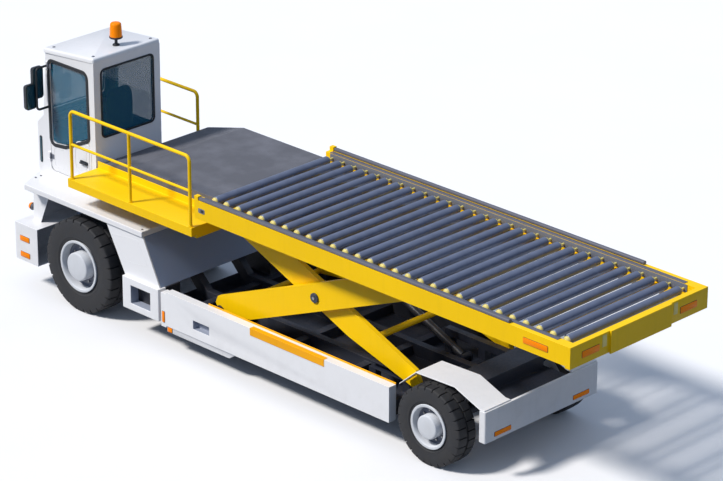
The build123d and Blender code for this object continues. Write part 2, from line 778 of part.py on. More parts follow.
# Cab shell: floor and four walls with a bulging nose, window and door openings
cab_mid_y = (cab_left_y + cab_right_y) / 2
cab_half = (cab_left_y - cab_right_y) / 2
cab_brow_x = 4480
cab_sill_x = 4560
cab_sill_z = 2240
nose_x = 4680
nose_z = 2120
cab_foot_x = 4650
window_r = 60
door_rear_x = 3690
door_front_x = 4440
door_low_z = 1530
door_top_z = 3020
rear_glass_low_z = 2170
rear_glass_top_z = 3060
rear_glass_half = 430
far_glass_rear_x = 3680
far_glass_front_x = 4400
far_glass_low_z = 2060
far_glass_top_z = 3010
far_glass_w = far_glass_front_x - far_glass_rear_x
far_glass_h = far_glass_top_z - far_glass_low_z
far_glass_mid_x = (far_glass_rear_x + far_glass_front_x) / 2
far_glass_mid_z = (far_glass_low_z + far_glass_top_z) / 2
front_glass_half = 450
front_glass_top_z = 3010
front_glass_low_z = 2300
hinge_x = door_front_x
hinge_r = 13
hinge_pin_r = 7
hinge_y = cab_left_y + hinge_r
hinge_l = 70
hinge_gap = 5
hinge_lug_t = 14
hinge_leaf = 30
hinge_heights = (1720, 2930)
cab_line = (
    (cab_rear_x, platform_z),
    (cab_rear_x, roof_rear_z),
    (cab_brow_x, roof_front_z),
    (cab_sill_x, cab_sill_z),
    (nose_x, nose_z),
    (nose_x, platform_z + 2 * cab_wall),
    (cab_foot_x, platform_z),
)
cab_core = (
    (cab_rear_x + cab_wall, platform_z + cab_wall),
    (cab_rear_x + cab_wall, roof_rear_z + overrun),
    (cab_brow_x - cab_wall, roof_front_z + overrun),
    (cab_sill_x - cab_wall, cab_sill_z),
    (nose_x - cab_wall, nose_z - cab_wall / 2),
    (nose_x - cab_wall, platform_z + 2 * cab_wall),
    (cab_foot_x - cab_wall, platform_z + cab_wall),
)
with BuildPart() as cab_shell:
    with BuildSketch(at_y(cab_mid_y)):
        with BuildLine():
            Polyline(*cab_line, close=True)
        make_face()
    extrude(amount=cab_half, both=True)
    with BuildSketch(at_y(cab_mid_y)):
        with BuildLine():
            Polyline(*cab_core, close=True)
        make_face()
    extrude(amount=cab_half - cab_wall, both=True, mode=Mode.SUBTRACT)
    # Door opening in the left wall
    with BuildSketch(at_y(cab_left_y - cab_wall / 2)):
        with Locations(((door_rear_x + door_front_x) / 2, (door_low_z + door_top_z) / 2)):
            RectangleRounded(door_front_x - door_rear_x, door_top_z - door_low_z, window_r)
    extrude(amount=cab_wall, both=True, mode=Mode.SUBTRACT)
    # Window in the right wall
    with BuildSketch(at_y(cab_right_y + cab_wall / 2)):
        with Locations((far_glass_mid_x, far_glass_mid_z)):
            RectangleRounded(far_glass_w, far_glass_h, window_r)
    extrude(amount=cab_wall, both=True, mode=Mode.SUBTRACT)
    # Rear window
    with BuildSketch(at_x(cab_rear_x + cab_wall / 2)):
        with Locations((cab_mid_y, (rear_glass_low_z + rear_glass_top_z) / 2)):
            RectangleRounded(2 * rear_glass_half, rear_glass_top_z - rear_glass_low_z, window_r)
    extrude(amount=cab_wall, both=True, mode=Mode.SUBTRACT)
    # Windscreen
    with BuildSketch(at_x((cab_brow_x + cab_sill_x) / 2)):
        with Locations((cab_mid_y, (front_glass_low_z + front_glass_top_z) / 2)):
            RectangleRounded(2 * front_glass_half, front_glass_top_z - front_glass_low_z, window_r)
    extrude(amount=2 * cab_wall, both=True, mode=Mode.SUBTRACT)
    # Hinge pins of the door, each held by two lugs
    for z in hinge_heights:
        for way in (1, -1):
            lug_z = z + way * (hinge_l / 2 + hinge_gap + hinge_lug_t / 2)
            with Locations((hinge_x + hinge_leaf / 2 - hinge_pin_r / 2, hinge_y, lug_z)):
                Box(hinge_leaf + hinge_pin_r, 2 * hinge_r, hinge_lug_t)
        with Locations((hinge_x, hinge_y, z)):
            Cylinder(hinge_pin_r, hinge_l + 2 * (hinge_gap + hinge_lug_t))
cab_shell.part.label = "cab_shell"
export_step(cab_shell.part, "parts/cab_shell.step")

# Cab roof: sloping cap with a lip all round
brow_share = 0.4
roof_round_share = 0.35
with BuildPart() as cab_roof:
    slope = (roof_rear_z - roof_front_z) / (cab_brow_x - cab_rear_x)
    rear_z = roof_rear_z + slope * roof_lip
    front_z = roof_front_z - slope * 2 * roof_lip
    with BuildSketch(at_y(cab_mid_y)):
        with BuildLine():
            Polyline((cab_rear_x - roof_lip, rear_z), (cab_brow_x + 2 * roof_lip, front_z),
                     (cab_brow_x + 2 * roof_lip, front_z + brow_share * roof_t),
                     (cab_brow_x, roof_front_z + roof_t),
                     (cab_rear_x - roof_lip, rear_z + roof_t), close=True)
        make_face()
    extrude(amount=cab_half + roof_lip, both=True)
    fillet(cab_roof.faces().sort_by(Axis.Z)[-1].edges(), roof_round_share * roof_t)
cab_roof.part.label = "cab_roof"
export_step(cab_roof.part, "parts/cab_roof.step")

# Cab glass: rear, right and front panes, each set in its opening
pane_t = 8
pane_inset = 32
with BuildPart() as cab_glass:
    with BuildSketch(at_y(cab_right_y + cab_wall / 2)):
        with Locations((far_glass_mid_x, far_glass_mid_z)):
            RectangleRounded(far_glass_w - 2 * seat_gap, far_glass_h - 2 * seat_gap, window_r)
    extrude(amount=pane_t / 2, both=True)
    with BuildSketch(at_x(cab_rear_x + cab_wall / 2)):
        with Locations((cab_mid_y, (rear_glass_low_z + rear_glass_top_z) / 2)):
            RectangleRounded(2 * (rear_glass_half - seat_gap),
                             rear_glass_top_z - rear_glass_low_z - 2 * seat_gap, window_r)
    extrude(amount=pane_t / 2, both=True)
    lean = math.degrees(math.atan2(cab_sill_x - cab_brow_x, roof_front_z - cab_sill_z))
    pane_h = (front_glass_top_z - front_glass_low_z) / math.cos(math.radians(lean)) - pane_inset
    pane_z = (front_glass_low_z + front_glass_top_z) / 2
    pane_x = cab_brow_x + (roof_front_z - pane_z) * math.tan(math.radians(lean)) - cab_wall / 2
    with BuildSketch(Plane(origin=(pane_x, cab_mid_y, pane_z), x_dir=(0, 1, 0),
                           z_dir=(math.cos(math.radians(lean)), 0, math.sin(math.radians(lean))))):
        RectangleRounded(2 * (front_glass_half - seat_gap), pane_h, window_r)
    extrude(amount=pane_t / 2, both=True)
cab_glass.part.label = "cab_glass"
export_step(cab_glass.part, "parts/cab_glass.step")

# Cab door: framed panel with a glass pane, hinged at its front edge
door_gap = 7
door_t = 34
door_glass_low_z = 1800
door_frame = 55
door_w = door_front_x - door_rear_x - 2 * door_gap
door_h = door_top_z - door_low_z - 2 * door_gap
door_mid_x = (door_front_x + door_rear_x) / 2
door_mid_z = (door_top_z + door_low_z) / 2
door_glass_w = door_w - 2 * door_frame
door_glass_h = door_top_z - door_gap - door_frame - door_glass_low_z
door_glass_z = door_glass_low_z + door_glass_h / 2
with BuildPart() as cab_door:
    with BuildSketch(at_y(cab_left_y - door_t / 2)):
        with Locations((door_mid_x, door_mid_z)):
            RectangleRounded(door_w, door_h, window_r)
        with Locations((door_mid_x, door_glass_z)):
            RectangleRounded(door_glass_w, door_glass_h, window_r, mode=Mode.SUBTRACT)
    extrude(amount=door_t / 2, both=True)
    # Hinge barrels on the outer face, round the pins of the shell
    for z in hinge_heights:
        with Locations((hinge_x, hinge_y, z)):
            Cylinder(hinge_r, hinge_l)
        with Locations((hinge_x - hinge_leaf / 2, hinge_y - hinge_r / 2, z)):
            Box(hinge_leaf, hinge_r, hinge_l)
        with Locations((hinge_x, hinge_y, z)):
            Cylinder(hinge_pin_r + pin_gap, hinge_l, mode=Mode.SUBTRACT)
cab_door.part.label = "cab_door"
export_step(cab_door.part, "parts/cab_door.step")
with BuildPart() as door_glass:
    with BuildSketch(at_y(cab_left_y - door_t / 2)):
        with Locations((door_mid_x, door_glass_z)):
            RectangleRounded(door_glass_w - 2 * seat_gap, door_glass_h - 2 * seat_gap, window_r)
    extrude(amount=pane_t / 2, both=True)
door_glass.part.label = "door_glass"
export_step(door_glass.part, "parts/door_glass.step")

# Dashboard with column and steering wheel
dash_rear_x = 4230
dash_top_z = 2060
dash_w = 700
steer_hub_x = 4130
steer_hub_y = 250
steer_hub_z = 2200
dash_foot_rise = 90
dash_foot_run = 150
steer_boss_share = 3
steer_r = 190
steer_t = 16
steer_tilt = 35
column_share = 1.6
with BuildPart() as dashboard:
    with BuildSketch(at_y(cab_mid_y)):
        with BuildLine():
            Polyline((dash_rear_x, dash_top_z - 2 * cab_wall), (dash_rear_x + cab_wall, dash_top_z),
                     (nose_x - cab_wall, dash_top_z), (nose_x - cab_wall, platform_z + dash_foot_rise),
                     (dash_rear_x + dash_foot_run, platform_z + cab_wall), close=True)
        make_face()
    extrude(amount=dash_w / 2, both=True)
    column = Plane(origin=(steer_hub_x, steer_hub_y, steer_hub_z), x_dir=(0, 1, 0),
                   z_dir=(-math.sin(math.radians(steer_tilt)), 0, math.cos(math.radians(steer_tilt))))
    with BuildSketch(column):
        Circle(column_share * steer_t)
    extrude(amount=-2 * steer_r)
    with Locations(Location(column)):
        Torus(steer_r, steer_t)
        Cylinder(steer_boss_share * steer_t, 2 * steer_t)
        Box(2 * steer_r, 2 * steer_t, steer_t)
dashboard.part.label = "dashboard"
export_step(dashboard.part, "parts/dashboard.step")

# Seat: pedestal, cushion and rounded back
seat_x = 3900
seat_y = 143
seat_z = 1900
seat_w = 440
seat_t = 110
back_h = 640
back_w = 396
pedestal_l_share = 0.7
pedestal_w_share = 0.8
cushion_round_share = 0.4
back_round_share = 0.3
with BuildPart() as seat:
    pedestal_h = seat_z - seat_t - platform_z - cab_wall
    with Locations((seat_x, seat_y, platform_z + cab_wall + pedestal_h / 2)):
        Box(pedestal_l_share * seat_w, pedestal_w_share * seat_w, pedestal_h)
    with Locations((seat_x, seat_y, seat_z - seat_t / 2)):
        Box(seat_w, seat_w, seat_t)
    fillet(seat.edges().filter_by(Axis.Z).group_by(Axis.Z)[-1], cushion_round_share * seat_t)
    back_x = seat_x - seat_w / 2 + seat_t / 2
    with BuildSketch(at_x(back_x - seat_t / 2)):
        with Locations((seat_y, seat_z + back_h / 2)):
            RectangleRounded(back_w, back_h, back_round_share * seat_w)
        with Locations((seat_y, seat_z)):
            Rectangle(back_w, seat_t)
    extrude(amount=seat_t)
seat.part.label = "seat"
export_step(seat.part, "parts/seat.step")

# Mirrors: two housings on a bent tube at the cab's front left corner
mirror_tube_r = 14
mirror_tube_reach = 120
mirror_tube_y = cab_left_y + mirror_tube_reach
mirror_low_z = 2350
mirror_top_z = 2850
mirror_bend_r = 50
mirror_t = 60
mirror_table = (
    # distance from the cab's side, z of the middle, width, height
    (80, 2600, 130, 370),
    (190, 2470, 130, 290),
)
with BuildPart() as mirrors:
    tube_x = cab_brow_x - 2 * mirror_tube_r
    with BuildLine():
        FilletPolyline((tube_x, cab_left_y, mirror_top_z), (tube_x, mirror_tube_y, mirror_top_z),
                       (tube_x, mirror_tube_y, mirror_low_z), (tube_x, cab_left_y, mirror_low_z),
                       radius=mirror_bend_r)
    with BuildSketch(at_y(cab_left_y)):
        with Locations((tube_x, mirror_top_z)):
            Circle(mirror_tube_r)
    sweep()
    for reach, z, w, h in mirror_table:
        with BuildSketch(at_x(tube_x + mirror_tube_r / 2)):
            with Locations((cab_left_y + reach, z)):
                RectangleRounded(w, h, w / 4)
        extrude(amount=mirror_t)
mirrors.part.label = "mirrors"
export_step(mirrors.part, "parts/mirrors.step")

# Beacon on its stalk
beacon_x = 3790
beacon_y = 120
beacon_r = 56
beacon_foot_r = 40
beacon_stalk_h = 130
beacon_h = 170
dome_side_share = 0.9
dome_rise_share = 0.8
dome_top_share = 0.6
with BuildPart() as beacon:
    roof_slope = (roof_rear_z - roof_front_z) / (cab_brow_x - cab_rear_x)
    beacon_z = roof_rear_z + roof_t - (beacon_x - beacon_foot_r - cab_rear_x) * roof_slope
    with BuildSketch(at_y(beacon_y)):
        with BuildLine():
            beacon_edge_x = beacon_x + beacon_foot_r
            beacon_stem_x = beacon_x + beacon_foot_r / 2
            dome_z = beacon_z + beacon_stalk_h
            Polyline((beacon_x, beacon_z + seat_gap), (beacon_edge_x, beacon_z + seat_gap),
                     (beacon_edge_x, beacon_z + 2 * sheet), (beacon_stem_x, beacon_z + 3 * sheet),
                     (beacon_stem_x, dome_z - 2 * sheet), (beacon_x + beacon_r + sheet, dome_z - sheet),
                     (beacon_x + beacon_r + sheet, dome_z + sheet), (beacon_x + beacon_r, dome_z + sheet),
                     (beacon_x + dome_side_share * beacon_r, dome_z + dome_rise_share * beacon_h),
                     (beacon_x + dome_top_share * beacon_r, dome_z + beacon_h),
                     (beacon_x, dome_z + beacon_h), close=True)
        make_face()
    revolve(axis=Axis((beacon_x, beacon_y, 0), (0, 0, 1)))
beacon.part.label = "beacon"
export_step(beacon.part, "parts/beacon.step")

# Lamps and reflectors fixed to the chassis
reflector_t = 8
rear_reflector_l = 280
reflector_l = 150
reflector_h = 60
nose_reflector_l = 185
nose_reflector_h = 74
rear_reflector_y = 668
rear_reflector_z = 545
nose_reflector_x = 4527
nose_reflector_z = (672, 454)
end_marker_w = 50
end_marker_z = 435
chin_marker_l = 86
chin_marker_h = 66
chin_marker_inset = 10
round_lamp_y = 840
round_lamp_z = 1010
round_lamp_r = 45
round_lamp_l = 60
stalk_r = 15
stalk_l = 90
with BuildPart() as lamps:
    for name, s in SIDES:
        with Locations((bumper_rear_x - reflector_t / 2, s * rear_reflector_y, rear_reflector_z)):
            Box(reflector_t, rear_reflector_l, reflector_h)
        for z in nose_reflector_z:
            with Locations((nose_reflector_x, s * (nose_half_w + reflector_t / 2), z)):
                Box(nose_reflector_l, reflector_t, nose_reflector_h)
        with Locations((beam_front_x + tab_l / 2, s * (tab_out_y + reflector_t / 2), end_marker_z)):
            Box(end_marker_w, reflector_t, reflector_l)
        chin_marker_x = chin_front_x - chin_marker_inset - chin_marker_l / 2
        chin_marker_z = chin_low_z + chin_marker_inset / 2 + chin_marker_h / 2
        chin_out_y = beam_outer_y - chin_inset
        with Locations((chin_marker_x, s * (chin_out_y + reflector_t / 2), chin_marker_z)):
            Box(chin_marker_l, reflector_t, chin_marker_h)
        rise_share = (round_lamp_z - stalk_r - nose_top_z) / (housing_top_z - nose_top_z)
        stalk_x = neck_front_x + 2 * sheet * (1 - rise_share) + seat_gap
        with Locations(Location((stalk_x + stalk_l / 2, s * round_lamp_y, round_lamp_z), (0, 90, 0))):
            Cylinder(stalk_r, stalk_l)
        lamp_x = stalk_x + stalk_l - round_lamp_l / 2
        with Locations(Location((lamp_x, s * round_lamp_y, round_lamp_z), (0, 90, 0))):
            Cylinder(round_lamp_r, round_lamp_l)
lamps.part.label = "lamps"
export_step(lamps.part, "parts/lamps.step")

# Scissor arms: plates tapered where they pass the deck and the floor, joined by cross tubes
corner_cut = 70
tube_r = 50
outer_tube_u = 1230
outer_tube_v = -95
end_tube_inset = 260
outer_end_tube_u = arm_length - end_tube_inset
outer_end_tube_v = -70
inner_tube_front_u = 760
inner_tube_rear_inset = 900
inner_tube_u = (inner_tube_front_u, arm_length - inner_tube_rear_inset)
inner_tube_share = 0.8
mid_pin_r = 45
track_roller_w = 72
eye_u = 1414
eye_v = -137
eye_lug_y = lift_eye_w / 2 + lug_gap / 2 + lug_t / 2


def arm_outline(pin, angle, lift, overhang, taper):
    """Outline of an arm plate; lift is 1 when the arm rises to the rear, -1 when it falls."""
    half = arm_depth / 2
    shape = (
        (-arm_end_r, 0),
        (overhang, lift * (half - corner_cut)),
        (overhang + corner_cut, lift * half),
        (arm_length - arm_taper, lift * half),
        (arm_length, lift * arm_end_r),
        (arm_length + arm_end_r, 0),
        (arm_length - overhang, -lift * (half - corner_cut)),
        (arm_length - overhang - corner_cut, -lift * half),
        (taper, -lift * half),
        (0, -lift * arm_end_r),
    )
    return [arm_point(pin, angle, u, v) for u, v in shape]


low_pin = (pin_x, low_pin_z)
top_pin = (pin_x, top_pin_z)
outer_overhang = -60
inner_overhang = 70
with BuildPart() as outer_arms:
    for name, s in SIDES:
        with BuildSketch(at_y(s * outer_arm_y)):
            with BuildLine():
                Polyline(*arm_outline(low_pin, arm_angle, 1, outer_overhang, arm_foot_taper), close=True)
            make_face()
            with Locations((mid_pin_x, mid_pin_z)):
                Circle(mid_pin_r + pin_gap, mode=Mode.SUBTRACT)
        extrude(amount=arm_t / 2, both=True)
        # Track roller outboard of the rear end
        roller_x, roller_z = arm_point(low_pin, arm_angle, arm_length, 0)
        roller_y = outer_arm_y + arm_t / 2 + track_roller_w / 2
        with Locations(Location((roller_x, s * roller_y, roller_z), (90, 0, 0))):
            Cylinder(track_roller_r, track_roller_w)
        # Lugs for the rod's eye, on the torque tube
        tube_x, tube_z = arm_point(low_pin, arm_angle, outer_tube_u, outer_tube_v)
        eye_x, eye_z = arm_point(low_pin, arm_angle, eye_u, eye_v)
        for way in (1, -1):
            with BuildSketch(at_y(s * (lift_y + way * eye_lug_y))):
                with BuildLine():
                    a = math.radians(arm_angle)
                    up_x = lug_r * math.sin(a)
                    up_z = lug_r * math.cos(a)
                    Polyline((tube_x + up_x, tube_z + up_z), (eye_x + up_x, eye_z + up_z),
                             (eye_x - up_x, eye_z - up_z), (tube_x - up_x, tube_z - up_z), close=True)
                make_face()
                with Locations((eye_x, eye_z)):
                    Circle(lug_r)
                    Circle(lift_pin_r, mode=Mode.SUBTRACT)
            extrude(amount=lug_t / 2, both=True)
    for u, v in ((outer_tube_u, outer_tube_v), (outer_end_tube_u, outer_end_tube_v)):
        x, z = arm_point(low_pin, arm_angle, u, v)
        with Locations(Location((x, 0, z), (90, 0, 0))):
            Cylinder(tube_r, 2 * outer_arm_y)
    with Locations(Location((pin_x, 0, low_pin_z), (90, 0, 0))):
        Cylinder(shaft_r, 2 * (lug_out_y + lug_t / 2 + sheet))
outer_arms.part.label = "outer_arms"
export_step(outer_arms.part, "parts/outer_arms.step")

with BuildPart() as inner_arms:
    for name, s in SIDES:
        with BuildSketch(at_y(s * inner_arm_y)):
            with BuildLine():
                Polyline(*arm_outline(top_pin, -arm_angle, -1, inner_overhang, arm_taper), close=True)
            make_face()
            with Locations((mid_pin_x, mid_pin_z)):
                Circle(mid_pin_r + pin_gap, mode=Mode.SUBTRACT)
        extrude(amount=arm_t / 2, both=True)
        roller_x, roller_z = arm_point(top_pin, -arm_angle, arm_length, 0)
        roller_y = track_y + track_t + track_play + track_roller_w / 2
        with Locations(Location((roller_x, s * roller_y, roller_z), (90, 0, 0))):
            Cylinder(track_roller_r, track_roller_w)
        with Locations(Location((roller_x, s * (roller_y + inner_arm_y) / 2, roller_z), (90, 0, 0))):
            Cylinder(track_roller_r / 2, inner_arm_y - roller_y)
        # Stub pin of the deck's hinge
        with Locations(Location((pin_x, s * inner_arm_y, top_pin_z), (90, 0, 0))):
            Cylinder(shaft_r, arm_t + 2 * lug_gap + 2 * lug_t)
    for u in inner_tube_u:
        x, z = arm_point(top_pin, -arm_angle, u, 0)
        with Locations(Location((x, 0, z), (90, 0, 0))):
            Cylinder(inner_tube_share * tube_r, 2 * inner_arm_y)
inner_arms.part.label = "inner_arms"
export_step(inner_arms.part, "parts/inner_arms.step")

# Centre pins with round heads
head_r = 62
head_t = 22
with BuildPart() as centre_pins:
    for name, s in SIDES:
        pin_l = outer_arm_y - inner_arm_y + arm_t + lug_gap
        outer_face_y = outer_arm_y + arm_t / 2
        with Locations(Location((mid_pin_x, s * (outer_face_y - pin_l / 2), mid_pin_z), (90, 0, 0))):
            Cylinder(mid_pin_r, pin_l)
        with Locations(Location((mid_pin_x, s * (outer_face_y + head_t / 2), mid_pin_z), (90, 0, 0))):
            Cylinder(head_r, head_t)
centre_pins.part.label = "centre_pins"
export_step(centre_pins.part, "parts/centre_pins.step")

# Lift cylinders: barrels pinned to the chassis, rods reaching to the outer arms' lugs
eye_x, eye_z = arm_point(low_pin, arm_angle, eye_u, eye_v)
lift_length = math.hypot(eye_x - lift_x, eye_z - lift_z)
lift_angle = math.degrees(math.atan2(eye_z - lift_z, eye_x - lift_x))
barrel_bore = 40
barrel_len = 1120
rod_r = 26
rod_len = 1080
gland_t = 70
barrel_foot_share = 0.8
rod_eye_share = 0.9
with BuildPart() as lift_barrels:
    for name, s in SIDES:
        along = Plane(origin=(lift_x, s * lift_y, lift_z), x_dir=(0, 1, 0),
                      z_dir=(math.cos(math.radians(lift_angle)), 0, math.sin(math.radians(lift_angle))))
        with BuildSketch(along.offset(barrel_foot_share * lift_eye_r)):
            Circle(barrel_r)
        extrude(amount=barrel_len - barrel_foot_share * lift_eye_r)
        with Locations(Location((lift_x, s * lift_y, lift_z), (90, 0, 0))):
            Cylinder(lift_eye_r, foot_eye_w)
            Cylinder(lift_pin_r + pin_gap, foot_eye_w + overrun, mode=Mode.SUBTRACT)
        with BuildSketch(along.offset(2 * lift_eye_r)):
            Circle(barrel_bore)
        extrude(amount=barrel_len - gland_t - 2 * lift_eye_r, mode=Mode.SUBTRACT)
        with BuildSketch(along.offset(barrel_len - gland_t - overrun)):
            Circle(rod_r + pin_gap)
        extrude(amount=gland_t + 2 * overrun, mode=Mode.SUBTRACT)
lift_barrels.part.label = "lift_barrels"
export_step(lift_barrels.part, "parts/lift_barrels.step")
with BuildPart() as lift_rods:
    for name, s in SIDES:
        along = Plane(origin=(lift_x, s * lift_y, lift_z), x_dir=(0, 1, 0),
                      z_dir=(math.cos(math.radians(lift_angle)), 0, math.sin(math.radians(lift_angle))))
        with BuildSketch(along.offset(lift_length - rod_len)):
            Circle(rod_r)
        extrude(amount=rod_len - lift_eye_r / 2)
        with BuildSketch(along.offset(lift_length - rod_len)):
            Circle(barrel_bore - 2 * pin_gap)
        extrude(amount=gland_t / 2)
        with Locations(Location((eye_x, s * lift_y, eye_z), (90, 0, 0))):
            Cylinder(rod_eye_share * lift_eye_r, lift_eye_w)
            Cylinder(lift_pin_r, lift_eye_w + overrun, mode=Mode.SUBTRACT)
lift_rods.part.label = "lift_rods"
export_step(lift_rods.part, "parts/lift_rods.step")

# Main deck frame: side beams with tracks, end beams, cross bars and hinge lugs
deck_low_z = deck_top_z - deck_beam_h
deck_inner_y = deck_half_w - deck_beam_t
roller_z = deck_top_z - roller_r
track_slack = 3
frame_top_z = roller_z - roller_r - track_slack
track_top_z = top_pin_z + track_roller_r + track_slack
deck_track_in_y = outer_arm_y + arm_t / 2 + lug_gap
end_beam_t = 74
end_beam_drop = 23
pad_half_w = 515
pad_t = 22
pad_drop = 37
end_stop_l = 64
end_stop_w = 60
end_stop_h = 52
stringer_y = 650
stringer_t = 24
stringer_rear_x = -980
rear_beams = (-2800, -3400, -4000)
mid_bars = (-120, -860)
mid_bar_h = 60
deck_track_rear_x = -2480
deck_track_front_x = -1180
front_beam_t = 40
with BuildPart() as deck_frame:
    deck_mid_x = (deck_front_x + deck_rear_x + pad_t) / 2
    deck_l = deck_front_x - deck_rear_x - pad_t
    for name, s in SIDES:
        with Locations((deck_mid_x, s * (deck_inner_y + deck_beam_t / 2), (deck_low_z + deck_top_z) / 2)):
            Box(deck_l, deck_beam_t, deck_beam_h)
        # Track of the outer arms' rollers
        track_l = deck_track_front_x - deck_track_rear_x
        track_w = deck_inner_y - deck_track_in_y
        track_low_z = top_pin_z - track_roller_r - track_slack
        for z in (track_top_z + track_t / 2, track_low_z - track_t / 2):
            track_mid_x = (deck_track_front_x + deck_track_rear_x) / 2
            with Locations((track_mid_x, s * (deck_track_in_y + track_w / 2), z)):
                Box(track_l, track_w, track_t)
        # Stringer and outer lug of the deck's hinge
        stringer_l = deck_front_x - stringer_rear_x
        stringer_x = (deck_front_x + stringer_rear_x) / 2
        with Locations((stringer_x, s * stringer_y, (deck_low_z + frame_top_z) / 2)):
            Box(stringer_l, stringer_t, frame_top_z - deck_low_z)
        lug_reach = arm_t / 2 + lug_gap / 2 + lug_t / 2
        for y in (inner_arm_y + lug_reach, inner_arm_y - lug_reach):
            with Locations(((pin_x - lug_r + deck_front_x) / 2, s * y, (deck_low_z + frame_top_z) / 2)):
                Box(deck_front_x - pin_x + lug_r, lug_t, frame_top_z - deck_low_z)
        # Stop plate at the front end of the guide rail
        stop_x = deck_front_x - end_stop_l / 2
        with Locations((stop_x, s * (deck_half_w - end_stop_w / 2), deck_top_z + end_stop_h / 2)):
            Box(end_stop_l, end_stop_w, end_stop_h)
    end_beam_h = deck_beam_h + end_beam_drop
    with Locations((deck_rear_x + pad_t + end_beam_t / 2, 0, deck_top_z - end_beam_h / 2)):
        Box(end_beam_t, 2 * deck_half_w, end_beam_h)
    with Locations((deck_rear_x + pad_t / 2, 0, (deck_low_z + deck_top_z - pad_drop) / 2)):
        Box(pad_t, 2 * pad_half_w, deck_beam_h + pad_drop)
    with Locations((deck_front_x - front_beam_t / 2, 0, (deck_low_z + frame_top_z) / 2)):
        Box(front_beam_t, 2 * deck_half_w, frame_top_z - deck_low_z)
    for x in rear_beams:
        with Locations((x, 0, (deck_low_z + frame_top_z) / 2)):
            Box(cross_w, 2 * deck_inner_y, frame_top_z - deck_low_z)
    for x in mid_bars:
        with Locations((x, 0, frame_top_z - mid_bar_h / 2)):
            Box(cross_w, 2 * deck_inner_y, mid_bar_h)
    # Bores of the deck's hinge
    with Locations(Location((pin_x, 0, top_pin_z), (90, 0, 0))):
        Cylinder(shaft_r + pin_gap, 2 * (inner_arm_y + arm_t), mode=Mode.SUBTRACT)
deck_frame.part.label = "deck_frame"
export_step(deck_frame.part, "parts/deck_frame.step")

# Deck rollers with pale end caps and journals into the side beams
roller_half = 935
cap_t = 24
cap_r = 42
journal_r = 14
roller_first_x = 1128
roller_last_x = -4450
roller_pitch = (roller_first_x - roller_last_x) / (roller_count - 1)
with BuildPart() as deck_rollers:
    for i in range(roller_count):
        x = roller_first_x - i * roller_pitch
        with Locations(Location((x, 0, roller_z), (90, 0, 0))):
            Cylinder(roller_r, 2 * roller_half)
            Cylinder(cap_r, 2 * (roller_half + cap_t))
            Cylinder(journal_r, 2 * deck_inner_y)
deck_rollers.part.label = "deck_rollers"
export_step(deck_rollers.part, "parts/deck_rollers.step")

# Guide rails along both side beams, and the flat strips inside them
guide_front_x = 1188
guide_rear_x = -3790
guide_w = 52
guide_h = 44
guide_y = 1132
guide_round_share = 0.4
strip_inner_h = 6
strip_inner_w = 62
with BuildPart() as deck_rails:
    for name, s in SIDES:
        with BuildSketch(at_x(guide_rear_x)):
            with Locations((s * guide_y, deck_top_z + guide_h / 2)):
                RectangleRounded(guide_w, guide_h, guide_round_share * guide_h)
        extrude(amount=guide_front_x - guide_rear_x)
        flat_l = guide_front_x - roller_last_x
        flat_x = (guide_front_x + roller_last_x) / 2
        with Locations((flat_x, s * (deck_inner_y + strip_inner_w / 2), deck_top_z + strip_inner_h / 2)):
            Box(flat_l, strip_inner_w, strip_inner_h)
deck_rails.part.label = "deck_rails"
export_step(deck_rails.part, "parts/deck_rails.step")

# Markers on the deck's rear corners
marker_l = 366
marker_h = 76
marker_x = -4192
marker_z = 2066
rear_marker_l = 290
rear_marker_h = 84
rear_marker_y = 826
rear_marker_z = 2044
with BuildPart() as deck_markers:
    for name, s in SIDES:
        with Locations((marker_x, s * (deck_half_w + reflector_t / 2), marker_z)):
            Box(marker_l, reflector_t, marker_h)
        with Locations((deck_rear_x + pad_t - reflector_t / 2, s * rear_marker_y, rear_marker_z)):
            Box(reflector_t, rear_marker_l, rear_marker_h)
deck_markers.part.label = "deck_markers"
export_step(deck_markers.part, "parts/deck_markers.step")
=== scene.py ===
"""Looks of the aircraft cargo loader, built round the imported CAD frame. Lengths are metres."""
import json
import math

import bmesh
import bpy
import numpy as np
from mathutils import Matrix


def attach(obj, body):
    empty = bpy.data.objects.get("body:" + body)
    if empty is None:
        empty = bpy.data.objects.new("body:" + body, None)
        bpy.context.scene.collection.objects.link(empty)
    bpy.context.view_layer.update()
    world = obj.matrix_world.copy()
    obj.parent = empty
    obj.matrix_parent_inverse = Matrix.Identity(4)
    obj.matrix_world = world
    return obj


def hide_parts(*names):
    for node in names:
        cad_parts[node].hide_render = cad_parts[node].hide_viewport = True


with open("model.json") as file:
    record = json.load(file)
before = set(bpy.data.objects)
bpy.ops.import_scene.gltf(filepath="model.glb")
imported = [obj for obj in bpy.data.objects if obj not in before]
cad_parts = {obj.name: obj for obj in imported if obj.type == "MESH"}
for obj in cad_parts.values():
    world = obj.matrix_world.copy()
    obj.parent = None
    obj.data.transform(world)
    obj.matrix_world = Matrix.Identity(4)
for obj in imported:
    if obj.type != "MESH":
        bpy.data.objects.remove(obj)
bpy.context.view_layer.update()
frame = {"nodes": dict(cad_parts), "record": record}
record = frame["record"]
body_of_node = {n: b for b, ns in record["behaviour"]["bodies"].items() for n in ns}
slot_of_node = {s["node"]: s["material_slot"] for s in record["subparts"]}
SIDES = (("left", 1), ("right", -1))
X, Y, Z, REARWARD, RIGHTWARD = (1, 0, 0), (0, 1, 0), (0, 0, 1), (-1, 0, 0), (0, -1, 0)


# Shader maths

